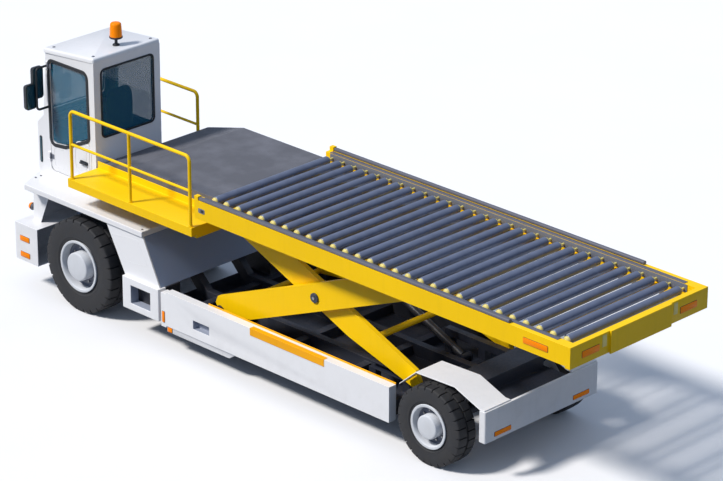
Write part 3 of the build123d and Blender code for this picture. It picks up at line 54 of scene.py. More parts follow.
class Wire:
    """One output socket. Sums and products of wires add Math nodes behind it."""

    def __init__(self, board, socket):
        self.board = board
        self.socket = socket

    def maths(self, operation, first, second):
        return self.board.node("ShaderNodeMath", {"operation": operation}, {0: first, 1: second})

    def __add__(self, other):
        return self.maths("ADD", self, other)

    def __sub__(self, other):
        return self.maths("SUBTRACT", self, other)

    def __rsub__(self, other):
        return self.maths("SUBTRACT", other, self)

    def __mul__(self, other):
        return self.maths("MULTIPLY", self, other)

    def __gt__(self, other):
        return self.maths("GREATER_THAN", self, other)

    def __lt__(self, other):
        return self.maths("LESS_THAN", self, other)

    __radd__ = __add__
    __rmul__ = __mul__


class Board:
    """The node tree of one finish."""

    def __init__(self, name):
        self.material = bpy.data.materials.new(name)
        self.material.use_nodes = True
        self.tree = self.material.node_tree
        self.tree.nodes.clear()
        self.out = self.tree.nodes.new("ShaderNodeOutputMaterial")

    def node(self, kind, settings, values, output=0):
        """Adds a node, sets its settings, then its sockets' values or links, and returns an output."""
        made = self.tree.nodes.new(kind)
        for key, value in settings.items():
            if key == "stops":
                ramp = made.color_ramp
                ramp.elements[0].position, ramp.elements[0].color = value[0]
                ramp.elements[1].position, ramp.elements[1].color = value[-1]
                for place, colour in value[1:-1]:
                    ramp.elements.new(place).color = colour
            else:
                setattr(made, key, value)
        for key, value in values.items():
            if isinstance(value, Wire):
                self.tree.links.new(value.socket, made.inputs[key])
            else:
                made.inputs[key].default_value = value
        return Wire(self, made.outputs[output])

    def place(self):
        return self.node("ShaderNodeTexCoord", {}, {}, "Object")

    def noise(self, scale, detail=3, where=None, rough=0.5):
        where = where or self.place()
        return self.node("ShaderNodeTexNoise", {}, {"Vector": where, "Scale": scale, "Detail": detail,
                                                    "Roughness": rough})

    def span(self, value, low, high, to_low=0.0, to_high=1.0):
        return self.node("ShaderNodeMapRange", {"clamp": True},
                         {0: value, 1: low, 2: high, 3: to_low, 4: to_high})

    def blend(self, share, first, second):
        return self.node("ShaderNodeMix", {"data_type": "RGBA"}, {0: share, 6: first, 7: second}, 2)

    def split(self, vector):
        """The X, Y and Z of a vector."""
        parts = self.node("ShaderNodeSeparateXYZ", {}, {0: vector})
        return [Wire(self, parts.socket.node.outputs[i]) for i in range(3)]

    def bump(self, height, strength, distance):
        return self.node("ShaderNodeBump", {}, {"Height": height, "Strength": strength,
                                                "Distance": distance})

    def surface(self, **values):
        """A Principled surface; a key's underscores stand for spaces."""
        named = {key.replace("_", " "): value for key, value in values.items()}
        made = self.node("ShaderNodeBsdfPrincipled", {}, named)
        self.tree.links.new(made.socket, self.out.inputs[0])
        return self.material


WHITE = (236, 236, 238)
YELLOW = (255, 206, 0)
ORANGE = (255, 138, 0)
DUST = (150, 146, 138)


def rgba(red, green, blue):
    """A colour written as it shows on a screen, 0 to 255, made linear."""
    linear = [((c / 255 + 0.055) / 1.055) ** 2.4 if c > 10 else c / 255 / 12.92 for c in (red, green, blue)]
    return (*linear, 1.0)


def shade(colour, by):
    """A linear colour made darker or lighter by a factor."""
    return tuple(c * by for c in colour[:3]) + (1.0,)


def painted(name, colour, rough=0.38, coat=0.25, peel=0.12, dust=0.18, dust_colour=DUST, sheen=0.5):
    """Sprayed paint: slow colour drift, dust that settles low, fine scuffs and orange peel."""
    b = Board(name)
    where = b.place()
    x, y, z = b.split(where)
    drift = b.noise(0.9, 2, where)
    patches = b.noise(6.0, 5, where, 0.62)
    low = b.span(z, 0.1, 1.3, 1.0, 0.15)
    grime = b.span(patches, 0.46, 0.74) * low * dust
    base = rgba(*colour)
    paint = b.blend(b.span(drift, 0.3, 0.7, 0.0, 0.55), base, shade(base, 0.86))
    streak_place = b.node("ShaderNodeMapping", {}, {0: where, 3: (14.0, 14.0, 1.2)})
    streaks = b.span(b.noise(1.0, 4, streak_place, 0.6), 0.52, 0.75) * 0.10
    paint = b.blend(streaks, paint, shade(base, 0.6))
    paint = b.blend(grime, paint, rgba(*dust_colour))
    fine = b.noise(260.0, 2, where)
    scuffs = b.noise(38.0, 6, where, 0.7)
    gloss = b.span(scuffs, 0.35, 0.75, rough - 0.07, rough + 0.14) + grime * 0.4
    normal = b.bump(fine, peel, 0.0006)
    return b.surface(Base_Color=paint, Roughness=gloss, Normal=normal, Coat_Weight=coat,
                     Coat_Roughness=0.18, Specular_IOR_Level=sheen)


def anti_slip(name, colour):
    """Matt plate with grit rolled into the paint and paler walked-on patches."""
    b = Board(name)
    where = b.place()
    grit = b.noise(420.0, 2, where)
    worn = b.span(b.noise(2.2, 5, where, 0.6), 0.42, 0.68)
    base = rgba(*colour)
    pale = rgba(*(min(255, c * 1.22 + 6) for c in colour))
    tone = b.blend(worn * 0.6, base, pale)
    tone = b.blend(b.span(grit, 0.5, 0.8) * 0.35, tone, shade(base, 0.55))
    return b.surface(Base_Color=tone, Roughness=b.span(grit, 0.3, 0.7, 0.6, 0.85),
                     Normal=b.bump(grit, 0.5, 0.0015))


def metal(name, colour, rough=0.3, grain=(1.0, 60.0, 60.0), metallic=1.0):
    """Worked metal: fine drawn lines along one axis and cloudy rubbing."""
    b = Board(name)
    where = b.place()
    lines = b.noise(4.0, 4, b.node("ShaderNodeMapping", {}, {0: where, 3: grain}), 0.6)
    cloud = b.noise(9.0, 4, where)
    base = rgba(*colour)
    tone = b.blend(b.span(cloud, 0.35, 0.7, 0.0, 0.5), base, shade(base, 0.7))
    gloss = b.span(lines, 0.3, 0.7, rough - 0.08, rough + 0.1)
    return b.surface(Base_Color=tone, Metallic=metallic, Roughness=gloss, Normal=b.bump(lines, 0.08, 0.0004))


def rubber(name, colour, dusty):
    """Rubber: matt black, dust in cloudy patches and fine pores."""
    b = Board(name)
    where = b.place()
    cloud = b.noise(7.0, 5, where, 0.6)
    pores = b.noise(300.0, 2, where)
    base = rgba(*colour)
    tone = b.blend(b.span(cloud, 0.42, 0.72) * dusty, base, rgba(92, 88, 82))
    return b.surface(Base_Color=tone, Roughness=b.span(cloud, 0.3, 0.7, 0.62, 0.82),
                     Normal=b.bump(pores, 0.25, 0.0006))


def moulded(name, colour, rough=0.5, grain=240.0, strength=0.3):
    """Moulded plastic with a fine leather-like grain."""
    b = Board(name)
    where = b.place()
    cells = b.node("ShaderNodeTexVoronoi", {}, {"Vector": where, "Scale": grain})
    cloud = b.noise(5.0, 3, where)
    base = rgba(*colour)
    tone = b.blend(b.span(cloud, 0.35, 0.7, 0.0, 0.5), base, shade(base, 1.5))
    return b.surface(Base_Color=tone, Roughness=b.span(cloud, 0.3, 0.7, rough - 0.05, rough + 0.1),
                     Normal=b.bump(cells, strength, 0.0006))


def lens(name, colour, glow=0.0):
    """Ribbed clear plastic over a reflector: bands of prisms, and the lens colour given off as glow."""
    b = Board(name)
    where = b.place()
    x, y, z = b.split(where)
    ribs = b.node("ShaderNodeMath", {"operation": "SINE"}, {0: (x + y) * 520.0})
    rows = b.node("ShaderNodeMath", {"operation": "SINE"}, {0: z * 520.0})
    base = rgba(*colour)
    tone = b.blend(b.span(ribs * rows, -0.6, 0.8, 0.0, 0.35), base, shade(base, 0.5))
    return b.surface(Base_Color=tone, Roughness=0.35, Coat_Weight=0.04, Coat_Roughness=0.05,
                     Specular_IOR_Level=0.12, Emission_Color=tone, Emission_Strength=glow,
                     Normal=b.bump(ribs * rows, 0.25, 0.001))


def glazing(name, colour, clear):
    """Tinted safety glass: mostly see-through, with a sky-coloured film and faint smears."""
    b = Board(name)
    where = b.place()
    smear = b.noise(3.0, 4, where, 0.6)
    return b.surface(Base_Color=rgba(*colour), Roughness=b.span(smear, 0.4, 0.7, 0.03, 0.12),
                     Alpha=b.span(smear, 0.3, 0.75, 1 - clear, 1 - clear + 0.08), IOR=1.45,
                     Specular_IOR_Level=0.5)


def woven(name, colour):
    """Close woven seat cloth: crossed threads."""
    b = Board(name)
    where = b.place()
    x, y, z = b.split(where)
    warp = b.node("ShaderNodeMath", {"operation": "SINE"}, {0: (y + x * 0.4) * 2400.0})
    weft = b.node("ShaderNodeMath", {"operation": "SINE"}, {0: (z + x) * 2400.0})
    threads = warp * weft
    cloud = b.noise(8.0, 3, where)
    base = rgba(*colour)
    tone = b.blend(b.span(threads, -0.8, 0.8), base, tuple(c * 1.8 + 0.004 for c in base[:3]) + (1.0,))
    tone = b.blend(b.span(cloud, 0.4, 0.7, 0.0, 0.3), tone, shade(base, 0.6))
    return b.surface(Base_Color=tone, Roughness=0.85, Sheen_Weight=0.25, Normal=b.bump(threads, 0.35, 0.0008))


def cab_paint(name):
    """The cab's white paint outside; inside the walls' middle plane it turns to dark trim."""
    b = Board(name)
    where = b.place()
    x, y, z = b.split(where)
    inside = (y > -0.39) * (y < 0.676) * (x > 3.588) * (x < 4.665) * (z > 1.44) * (z < 3.11)
    inside = inside * ((x + z * 0.0935) < 4.752)
    fine = b.noise(260.0, 2, where)
    drift = b.noise(0.9, 2, where)
    base = rgba(*WHITE)
    paint = b.blend(b.span(drift, 0.3, 0.7, 0.0, 0.5), base, shade(base, 0.88))
    tone = b.blend(inside, paint, rgba(20, 25, 32))
    scuffs = b.noise(38.0, 6, where, 0.7)
    return b.surface(Base_Color=tone, Roughness=b.span(scuffs, 0.35, 0.75, 0.3, 0.5) + inside * 0.3,
                     Coat_Weight=0.2, Coat_Roughness=0.2, Normal=b.bump(fine, 0.12, 0.0006))


def beam_paint_and_shade(name, inner_reach=1.004, inner_shade_colour=(40, 42, 50)):
    """White body paint; what lies within inner_reach of the middle gets a dark painted shade, the step pockets
    a grey-blue painted shade.
    """
    b = Board(name)
    where = b.place()
    x, y, z = b.split(where)
    reach = b.node("ShaderNodeMath", {"operation": "ABSOLUTE"}, {0: y})
    inner = (reach < inner_reach)
    beam_step = (reach < 1.1135) * (x > 1.075) * (x < 1.370) * (z > 0.436) * (z < 0.563)
    box_step = (reach < 1.1245) * (x > 2.120) * (x < 2.488) * (z > 0.430) * (z < 0.685)
    pocket = beam_step + box_step
    fine = b.noise(260.0, 2, where)
    patches = b.noise(5.0, 5, where, 0.62)
    low = b.span(z, 0.25, 0.75, 1.0, 0.1)
    base = rgba(*WHITE)
    paint = b.blend(b.span(patches, 0.45, 0.75) * low * 0.16, base, rgba(*DUST))
    # painted shade in the step pockets, grey-blue
    paint = b.blend(pocket * 0.8, paint, rgba(128, 138, 160))
    # painted shade: everything within inner_reach of the middle is darkened
    paint = b.blend(inner, paint, rgba(*inner_shade_colour))
    scuffs = b.noise(38.0, 6, where, 0.7)
    return b.surface(Base_Color=paint, Roughness=b.span(scuffs, 0.35, 0.75, 0.3, 0.52) + inner * 0.15,
                     Coat_Weight=0.2, Coat_Roughness=0.2, Normal=b.bump(fine, 0.12, 0.0006))


finishes = {
    "white_paint": painted("white body paint", WHITE),
    "yellow_paint": painted("yellow frame paint", YELLOW, 0.45, 0.04, dust=0.05, sheen=0.22),
    "dark_paint": painted("dark chassis paint", (38, 42, 54), 0.5, 0.05, dust=0.35, dust_colour=(74, 72, 72)),
    "grey_plate": anti_slip("grey anti-slip plate", (92, 93, 100)),
    "roller_steel": metal("slate roller sleeve", (112, 120, 142), 0.38, (60.0, 1.0, 60.0), 0.25),
    "engine_iron": metal("cast engine block", (70, 72, 76), 0.55, (30.0, 30.0, 30.0), 0.6),
    "black_steel": painted("black cylinder paint", (44, 46, 54), 0.42, 0.2, dust=0.2),
    "chrome_rod": metal("ground rod steel", (196, 198, 204), 0.16, (30.0, 90.0, 30.0)),
    "rim_grey": painted("light wheel paint", (214, 217, 222), 0.4, 0.15),
    "tyre_rubber": rubber("tyre rubber", (31, 32, 36), 0.16),
    "tinted_glass": glazing("teal tinted glass", (34, 108, 138), 0.56),
    "black_plastic": moulded("black moulded plastic", (27, 32, 38)),
    "seat_cloth": woven("dark seat cloth", (30, 38, 48)),
    "amber_lens": lens("amber lens", ORANGE, 0.12),
}
cab_finish = cab_paint("cab paint and trim")
shaded_beam_finish = beam_paint_and_shade("beam paint with painted shade")
# the housing's rear wall and inner faces take a grey-blue painted shade
shaded_housing_finish = beam_paint_and_shade("housing paint with a grey-blue rear wall", 1.062, (141, 158, 188))
dish_finish = painted("dark wheel dish paint", (66, 76, 98), 0.42, 0.1)
rail_finish = painted("dark guide rail", (96, 96, 106), 0.45, 0.1, peel=0.25, dust=0.0)
seal_finish = rubber("window seal rubber", (26, 30, 36), 0.05)
cap_finish = painted("pale bearing cap", (226, 208, 120), 0.45, 0.1, dust=0.0)
# the reflectors glow by emission though they are no lamps: painted glow
glowing_orange_finish = lens("orange reflector with painted glow", ORANGE, 0.08)
bolt_finish = metal("zinc bolt", (150, 150, 152), 0.4)
strip_finish = painted("orange-yellow warning strip", (255, 176, 8), 0.45, 0.04, dust=0.05, sheen=0.22)
pin_finish = metal("dark pin steel", (58, 64, 80), 0.4, (30.0, 30.0, 30.0), 0.5)
mirror_glass = metal("mirror glass", (70, 98, 108), 0.05, (1.0, 1.0, 1.0), 0.85)
rail_grey = painted("grey roller rail", (104, 108, 120), 0.45, 0.08)


# Mesh makers

def piece(name, shape, body, finish, slot=None, flat_angle=40.0, hides=()):
    """Puts points and faces into a mesh that rides on a body; a finish may be given by name. The slot is not
    used.
    """
    points, faces = shape
    if isinstance(finish, str):
        finish, slot = finishes[finish], slot or finish
    mesh = bpy.data.meshes.new(name)
    mesh.from_pydata(np.asarray(points, float).reshape(-1, 3).tolist(), [], [tuple(f) for f in faces])
    mesh.polygons.foreach_set("use_smooth", np.ones(len(mesh.polygons), bool))
    mesh.set_sharp_from_angle(angle=math.radians(flat_angle))
    mesh.materials.append(finish)
    mesh.update()
    made = bpy.data.objects.new(name, mesh)
    bpy.context.scene.collection.objects.link(made)
    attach(made, body)
    if hides:
        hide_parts(*hides)
    return made


def quads(rows, cols, wrap_rows, wrap_cols):
    """Faces of a grid of rows by cols points, closed round either way where it wraps."""
    r = np.arange(rows if wrap_rows else rows - 1)
    c = np.arange(cols if wrap_cols else cols - 1)
    r, c = np.meshgrid(r, c, indexing="ij")
    r2, c2 = (r + 1) % rows, (c + 1) % cols
    return np.stack([r * cols + c, r2 * cols + c, r2 * cols + c2, r * cols + c2], -1).reshape(-1, 4).tolist()


def joined(parts):
    """Several (points, faces) sets as one."""
    points, faces, start = [], [], 0
    for p, f in parts:
        p = np.asarray(p, float).reshape(-1, 3)
        points.append(p)
        faces += [tuple(i + start for i in face) for face in f]
        start += len(p)
    return np.concatenate(points), faces


def rounded_rect(w, h, r, steps=4):
    """Outline of a rectangle with round corners, anticlockwise, as points of two shares."""
    r = min(r, 0.499 * w, 0.499 * h)
    turn = np.linspace(0, math.pi / 2, steps + 1)
    corners = []
    for k, (sx, sy) in enumerate(((1, 1), (-1, 1), (-1, -1), (1, -1))):
        a = turn + k * math.pi / 2
        corners.append(np.stack([sx * (w / 2 - r) + r * np.cos(a), sy * (h / 2 - r) + r * np.sin(a)], -1))
    return np.concatenate(corners)


def rounded(corners, radius, steps=6):
    """Closed outline through corners, each rounded by an arc."""
    ring = np.asarray([corners[-1], *corners, corners[0]], float)
    return bent(ring, radius, steps)[1:-1]


def seen_from(centre, outline, angles):
    """Where rays from the centre at the angles meet a closed outline around it."""
    step = np.linspace(0, 1, 60, endpoint=False)[:, None]
    along = np.concatenate([a + step * (b - a) for a, b in zip(outline, np.roll(outline, -1, 0))]) - centre
    turn = np.arctan2(along[:, 1], along[:, 0])
    order = np.argsort(turn)
    reach = np.interp(angles, turn[order], np.linalg.norm(along, axis=1)[order], period=2 * math.pi)
    return centre + reach[:, None] * np.stack([np.cos(angles), np.sin(angles)], -1)


def framed(outer, opening, depth, soft, origin, across, up):
    """Plate with a window: rings from the opening's edge to the rim, on the face and on the back."""
    across, up = np.asarray(across, float), np.asarray(up, float)
    out = np.cross(across, up)
    centre = opening.mean(0)
    turns = [np.arctan2(*(o - centre).T[::-1]) for o in (outer, opening)]
    angles = np.unique(np.round(np.concatenate(turns), 6))
    rim, edge = seen_from(centre, outer, angles), seen_from(centre, opening, angles)
    loops = ((edge, 0.0), (rim, 0.0), (rim, depth - soft), (inset(rim, soft), depth), (edge, depth))
    points = [np.asarray(origin) + o[:, :1] * across + o[:, 1:] * up + h * out for o, h in loops]
    points = np.concatenate(points)
    return points, outward(points, quads(len(loops), len(angles), True, True))


def inset(outline, by):
    """The outline moved inwards along the mean normal of each corner."""
    before = outline - np.roll(outline, 1, 0)
    after = np.roll(outline, -1, 0) - outline
    n1 = np.stack([-before[:, 1], before[:, 0]], -1)
    n2 = np.stack([-after[:, 1], after[:, 0]], -1)
    n1 /= np.maximum(np.linalg.norm(n1, axis=1, keepdims=True), 1e-9)
    n2 /= np.maximum(np.linalg.norm(n2, axis=1, keepdims=True), 1e-9)
    mean = n1 + n2
    mean /= np.maximum((mean * n1).sum(1, keepdims=True), 0.3)
    return outline + by * mean


def slab(outline, depth, soft, origin, across, up):
    """Plate: the outline swept from its seat to its face, its face's rim rounded by soft."""
    across, up = np.asarray(across, float), np.asarray(up, float)
    out = np.cross(across, up)
    rings = ((0.0, 0.0), (depth - soft, 0.0), (depth - 0.3 * soft, 0.3 * soft), (depth, soft))
    loops = []
    for height, tuck in rings:
        flat = inset(outline, tuck)
        loops.append(np.asarray(origin) + flat[:, :1] * across + flat[:, 1:] * up + height * out)
    n = len(outline)
    points = np.concatenate(loops)
    faces = [(a, d, c, b) for a, b, c, d in quads(len(rings), n, False, True)]
    faces.append(tuple(range(n))[::-1])
    faces.append(tuple(range((len(rings) - 1) * n, len(rings) * n)))
    return points, faces


def revolved(profile, centre, axis, sides, closed=False):
    """Profile of (radius, place along the axis) turned round an axis through the centre."""
    profile = np.asarray(profile, float)
    a = np.linspace(0, 2 * math.pi, sides, endpoint=False)
    r, t = profile[:, :1], profile[:, 1:]
    c, s, along = r * np.cos(a), r * np.sin(a), np.repeat(t, sides, 1)
    order = {"y": (c, along, -s), "x": (along, c, s), "z": (c, s, along)}[axis]
    points = np.stack(order, -1) + np.asarray(centre)
    n = len(profile)
    faces = quads(n, sides, closed, True)
    if not closed:
        faces.append(tuple(range(sides))[::-1])
        faces.append(tuple(range((n - 1) * sides, n * sides)))
    return points.reshape(-1, 3), outward(points.reshape(-1, 3), faces)


def outward(points, faces):
    """Turns all the faces round where the closed shape's volume comes out negative."""
    middle = points.mean(0)
    volume = 0.0
    for f in faces:
        p = points[list(f)] - middle
        volume += float((np.cross(p[1:-1] - p[0], p[2:] - p[0]) @ p[0]).sum())
    return [tuple(f[::-1]) for f in faces] if volume < 0 else [tuple(f) for f in faces]


def tube(path, radius, sides=14, closed=False):
    """Round tube along a path: a ring square to the path at each point, without twist."""
    path = np.asarray(path, float)
    ahead = np.roll(path, -1, 0) - np.roll(path, 1, 0)
    if not closed:
        ahead[0], ahead[-1] = path[1] - path[0], path[-1] - path[-2]
    ahead /= np.linalg.norm(ahead, axis=1, keepdims=True)
    side = np.cross(ahead[0], (0.0, 0.0, 1.0))
    if np.linalg.norm(side) < 0.1:
        side = np.cross(ahead[0], (1.0, 0.0, 0.0))
    frames = []
    for t in ahead:
        side = side - t * (side @ t)
        side /= np.linalg.norm(side)
        frames.append((side, np.cross(t, side)))
    frames = np.array(frames)
    a = np.linspace(0, 2 * math.pi, sides, endpoint=False)
    ring = np.cos(a)[None, :, None] * frames[:, None, 0] + np.sin(a)[None, :, None] * frames[:, None, 1]
    points = (path[:, None] + radius * ring).reshape(-1, 3)
    faces = quads(len(path), sides, closed, True)
    if not closed:
        faces.append(tuple(range(sides))[::-1])
        faces.append(tuple(range((len(path) - 1) * sides, len(path) * sides)))
    return points, outward(points, faces)


def bent(corners, radius, steps=6):
    """Path through corners with each inner corner rounded by an arc."""
    corners = np.asarray(corners, float)
    out = [corners[0]]
    for a, b, c in zip(corners[:-2], corners[1:-1], corners[2:]):
        u, v = (a - b) / np.linalg.norm(a - b), (c - b) / np.linalg.norm(c - b)
        half = math.acos(max(-1, min(1, float(u @ v)))) / 2
        cut = radius / math.tan(half)
        mid = b + (u + v) / np.linalg.norm(u + v) * radius / math.sin(half)
        start, end = b + u * cut - mid, b + v * cut - mid
        whole = math.pi - 2 * half
        t = np.linspace(0, 1, steps + 1)[:, None]
        arc = (np.sin((1 - t) * whole) * start + np.sin(t * whole) * end) / math.sin(whole)
        out.extend(mid + arc)
    out.append(corners[-1])
    return np.array(out)


def bolts(places, out, radius=0.011, height=0.008):
    """Six-sided heads with a chamfer, standing on a face whose normal is out."""
    out = np.asarray(out, float)
    side = np.cross(out, (0.3, 0.5, 0.81))
    side /= np.linalg.norm(side)
    up = np.cross(out, side)
    a = np.linspace(0, 2 * math.pi, 6, endpoint=False)
    hexagon = np.stack([np.cos(a), np.sin(a)], -1) * radius
    return joined([slab(hexagon, height, 0.2 * radius, p, side, up) for p in places])


def soften(node, width, finish=None, segments=2, angle=30.0, swell=0.0):
    """Round-edged copy of a CAD solid: doubles merged, flat facets joined, edges bevelled.

    Swell moves each point along its normal by that much, which thickens a tube."""
    source = frame["nodes"][node]
    mesh = source.data.copy()
    mesh.name = node + "_soft"
    shape = bmesh.new()
    shape.from_mesh(mesh)
    bmesh.ops.remove_doubles(shape, verts=shape.verts, dist=1e-5)
    bmesh.ops.dissolve_limit(shape, angle_limit=math.radians(0.5), verts=shape.verts, edges=shape.edges)
    shape.to_mesh(mesh)
    shape.free()
    if swell:
        spots, normals = np.empty((2, 3 * len(mesh.vertices)))
        mesh.vertices.foreach_get("co", spots)
        mesh.vertices.foreach_get("normal", normals)
        mesh.vertices.foreach_set("co", spots + swell * normals)
    mesh.polygons.foreach_set("use_smooth", np.ones(len(mesh.polygons), bool))
    mesh.set_sharp_from_angle(angle=math.radians(angle))
    mesh.materials.clear()
    mesh.materials.append(finish or finishes[slot_of_node[node]])
    made = bpy.data.objects.new(node + "_soft", mesh)
    bpy.context.scene.collection.objects.link(made)
    bevel = made.modifiers.new("edges", "BEVEL")
    bevel.width = width
    bevel.segments = segments
    bevel.limit_method = "ANGLE"
    bevel.angle_limit = math.radians(angle)
    bevel.harden_normals = True
    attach(made, body_of_node[node])
    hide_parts(node)
    return made


def gasket(outline, section, origin, across, up):
    """Closed section swept round an outline; each section point is (tuck, height)."""
    across, up = np.asarray(across, float), np.asarray(up, float)
    out = np.cross(across, up)
    loops = []
    for tuck, height in section:
        flat = inset(outline, tuck)
        loops.append(np.asarray(origin) + flat[:, :1] * across + flat[:, 1:] * up + height * out)
    points = np.concatenate(loops)
    return points, outward(points, quads(len(section), len(outline), True, True))


def bead(width, height, soft=0.3):
    """Section of a seal lip from tuck 0 to width, its face rounded."""
    return ((0.0, 0.0), (0.0, height * (1 - soft)), (width * soft * 0.5, height),
            (width * (1 - soft * 0.5), height), (width, height * (1 - soft)), (width, 0.0))


# CAD nodes: each gets its finish, and the sheet metal its rounded edges
for node, obj in frame["nodes"].items():
    obj.data.materials.clear()
    obj.data.materials.append(finishes[slot_of_node[node]])
edge_widths = (
    ("chassis_frame", 0.004), ("chassis_mounts", 0.003),
    ("rear_bumper", 0.008), ("rear_fenders", 0.005), ("front_platform", 0.010),
    ("front_bumper", 0.005), ("bridge", 0.004),
    ("walkway", 0.005), ("deck_frame", 0.005), ("outer_arms", 0.005), ("inner_arms", 0.005),
    ("engine", 0.02), ("front_axle", 0.006), ("rear_axle", 0.006),
)
for node, width in edge_widths:
    soften(node, width)
# side beams and step boxes carry painted shade on their inner faces and in the step pockets
soften("side_beams", 0.010, shaded_beam_finish)
soften("step_boxes", 0.008, shaded_beam_finish)
soften("beam_trim", 0.003, strip_finish)
soften("cab_shell", 0.012, cab_finish)
soften("front_housing", 0.004, shaded_housing_finish)
soften("centre_pins", 0.006, pin_finish)
soften("handrails", 0.002, swell=0.003)
soften("knuckle_left", 0.006)
soften("knuckle_right", 0.006)

# Tyres: a land curve and a groove curve from bead to crown, mixed by the tread mask round the tyre.
# point(angle, s) = groove(s) + mask(angle, s) * (land(s) - groove(s)), mask 0 in slots and the centre channel.
# SLOT is a slot's share of a lug's pitch, FLANK half the share of its sloping side, OUT_Y the tyres' outer face
LUGS, SLOT, FLANK, LUG_H, OUT_Y = 26, 0.11, 0.012, 0.024, 1.120
wheels = (
    ("front", 3.481, 0.616, 0.360, 0.326), ("rear", -2.559, 0.488, 0.300, 0.259),
)
fractions = np.array([0.0, 0.5 * SLOT - FLANK, 0.5 * SLOT + FLANK, 0.16, 0.25, 0.34, 0.5 - 0.5 * SLOT - FLANK,
                      0.5 - 0.5 * SLOT + FLANK, 0.5, 0.5 + 0.5 * SLOT - FLANK, 0.5 + 0.5 * SLOT + FLANK,
                      0.66, 0.75, 0.84, 1 - 0.5 * SLOT - FLANK, 1 - 0.5 * SLOT + FLANK])


def tread_mask(share, shift):
    """1 on a lug, 0 in the slot that is centred on shift."""
    off = np.abs((share - shift + 0.5) % 1.0 - 0.5)
    return np.clip((off - (0.5 * SLOT - FLANK)) / (2 * FLANK), 0, 1)


for axle, wheel_x, radius, width, rim in wheels:
    h = radius - rim
    seat = [(rim + a, b * width) for a, b in ((-0.012, 0.33), (0.004, 0.385), (0.020, 0.415), (0.024, 0.432),
                                              (0.040, 0.442))]
    wall = [(rim + a * h, b * width) for a, b in ((0.20, 0.468), (0.215, 0.478), (0.235, 0.478), (0.25, 0.476),
                                                  (0.38, 0.496), (0.50, 0.500), (0.62, 0.498))]
    shoulder = [(radius - 2.2 * LUG_H, 0.490 * width)]
    half_land = seat + wall + shoulder + [
        (radius - a * LUG_H, b * width)
        for a, b in ((2.0, 0.488), (1.2, 0.478), (0.75, 0.470), (0.35, 0.452), (0.20, 0.430), (0.12, 0.36),
                     (0.05, 0.24), (0.01, 0.12), (0.01, 0.050), (0.01, 0.036), (0.01, 0.0))]
    half_groove = seat + wall + shoulder + [
        (radius - a * LUG_H, b * width)
        for a, b in ((1.95, 0.474), (1.7, 0.452), (1.5, 0.432), (1.25, 0.408), (1.1, 0.38), (1.0, 0.33),
                     (0.9, 0.24), (0.85, 0.12), (0.85, 0.050), (0.85, 0.036), (0.85, 0.0))]
    row_mask = np.ones(len(half_land))
    row_mask[-2:] = 0.0
    shares = (np.arange(LUGS)[:, None] + fractions[None]).ravel() / LUGS
    angles = shares * 2 * math.pi
    land, groove = np.array(half_land), np.array(half_groove)
    grid = []
    for way in (1, -1):
        around = tread_mask(shares * LUGS, 0.0 if way > 0 else 0.5)
        mask = row_mask[:, None] * around[None]
        r = groove[:, :1] + mask * (land[:, :1] - groove[:, :1])
        t = way * (groove[:, 1:] + mask * (land[:, 1:] - groove[:, 1:]))
        grid.append((r, t))
    r = np.concatenate([grid[0][0], grid[1][0][-2::-1]])
    t = np.concatenate([grid[0][1], grid[1][1][-2::-1]])
    for name, s in SIDES:
        middle = (wheel_x, s * (OUT_Y - width / 2), radius)
        points = np.stack([wheel_x + r * np.cos(angles), middle[1] + t,
                           radius + r * np.sin(angles)], -1).reshape(-1, 3)
        faces = quads(len(r), len(angles), True, True)
        node = f"tyre_{axle}_{name}"
        piece(f"{node}_tread", (points, outward(points, faces)), body_of_node[node], "tyre_rubber",
              hides=(node,))
        # Rim in three pieces: light barrel with its flange, dark dish, light hub cap
        node = f"rim_{axle}_{name}"
        body, slot_name = body_of_node[node], slot_of_node[node]
        w = s * width
        barrel = [(rim + a, b * w) for a, b in (
            (-0.004, -0.36), (-0.004, 0.40), (0.006, 0.425), (0.013, 0.44), (0.014, 0.475), (0.010, 0.492),
            (-0.002, 0.497), (-0.018, 0.488), (-0.024, 0.465), (-0.030, 0.38), (-0.034, 0.18), (-0.034, -0.30),
            (-0.020, -0.352))]
        piece(f"{node}_barrel", revolved(barrel, middle, "y", 72, True), body, "rim_grey", slot_name, 30,
              (node,))
        cap = 0.57 * rim
        dish = [(rim - 0.032, 0.175 * w), (rim - 0.040, 0.20 * w), (0.86 * rim, 0.205 * w),
                (0.83 * rim, 0.19 * w), (0.79 * rim, 0.165 * w), (cap + 0.012, 0.165 * w),
                (cap - 0.004, 0.175 * w), (cap - 0.004, 0.09 * w), (0.80 * rim, 0.11 * w),
                (rim - 0.032, 0.125 * w)]
        piece(f"{node}_dish", revolved(dish, middle, "y", 72, True), body, dish_finish, slot_name, 30)
        face = 0.5 * width + 0.0224
        hub = [(cap, s * 0.02), (cap, s * (face - 0.016)), (cap - 0.004, s * (face - 0.007)),
               (cap - 0.013, s * (face - 0.001)), (cap - 0.018, s * face), (0.2 * cap, s * face)]
        piece(f"{node}_cap", revolved(hub, middle, "y", 56), body, "rim_grey", slot_name, 30)
        turn = np.linspace(0, 2 * math.pi, 10, endpoint=False)
        places = np.stack([wheel_x + 0.68 * rim * np.cos(turn),
                           np.full(10, middle[1] + 0.165 * w), radius + 0.68 * rim * np.sin(turn)], -1)
        piece(f"{node}_nuts", bolts(places, (0, s, 0), 0.014, 0.018), body, bolt_finish, slot_name, 30)

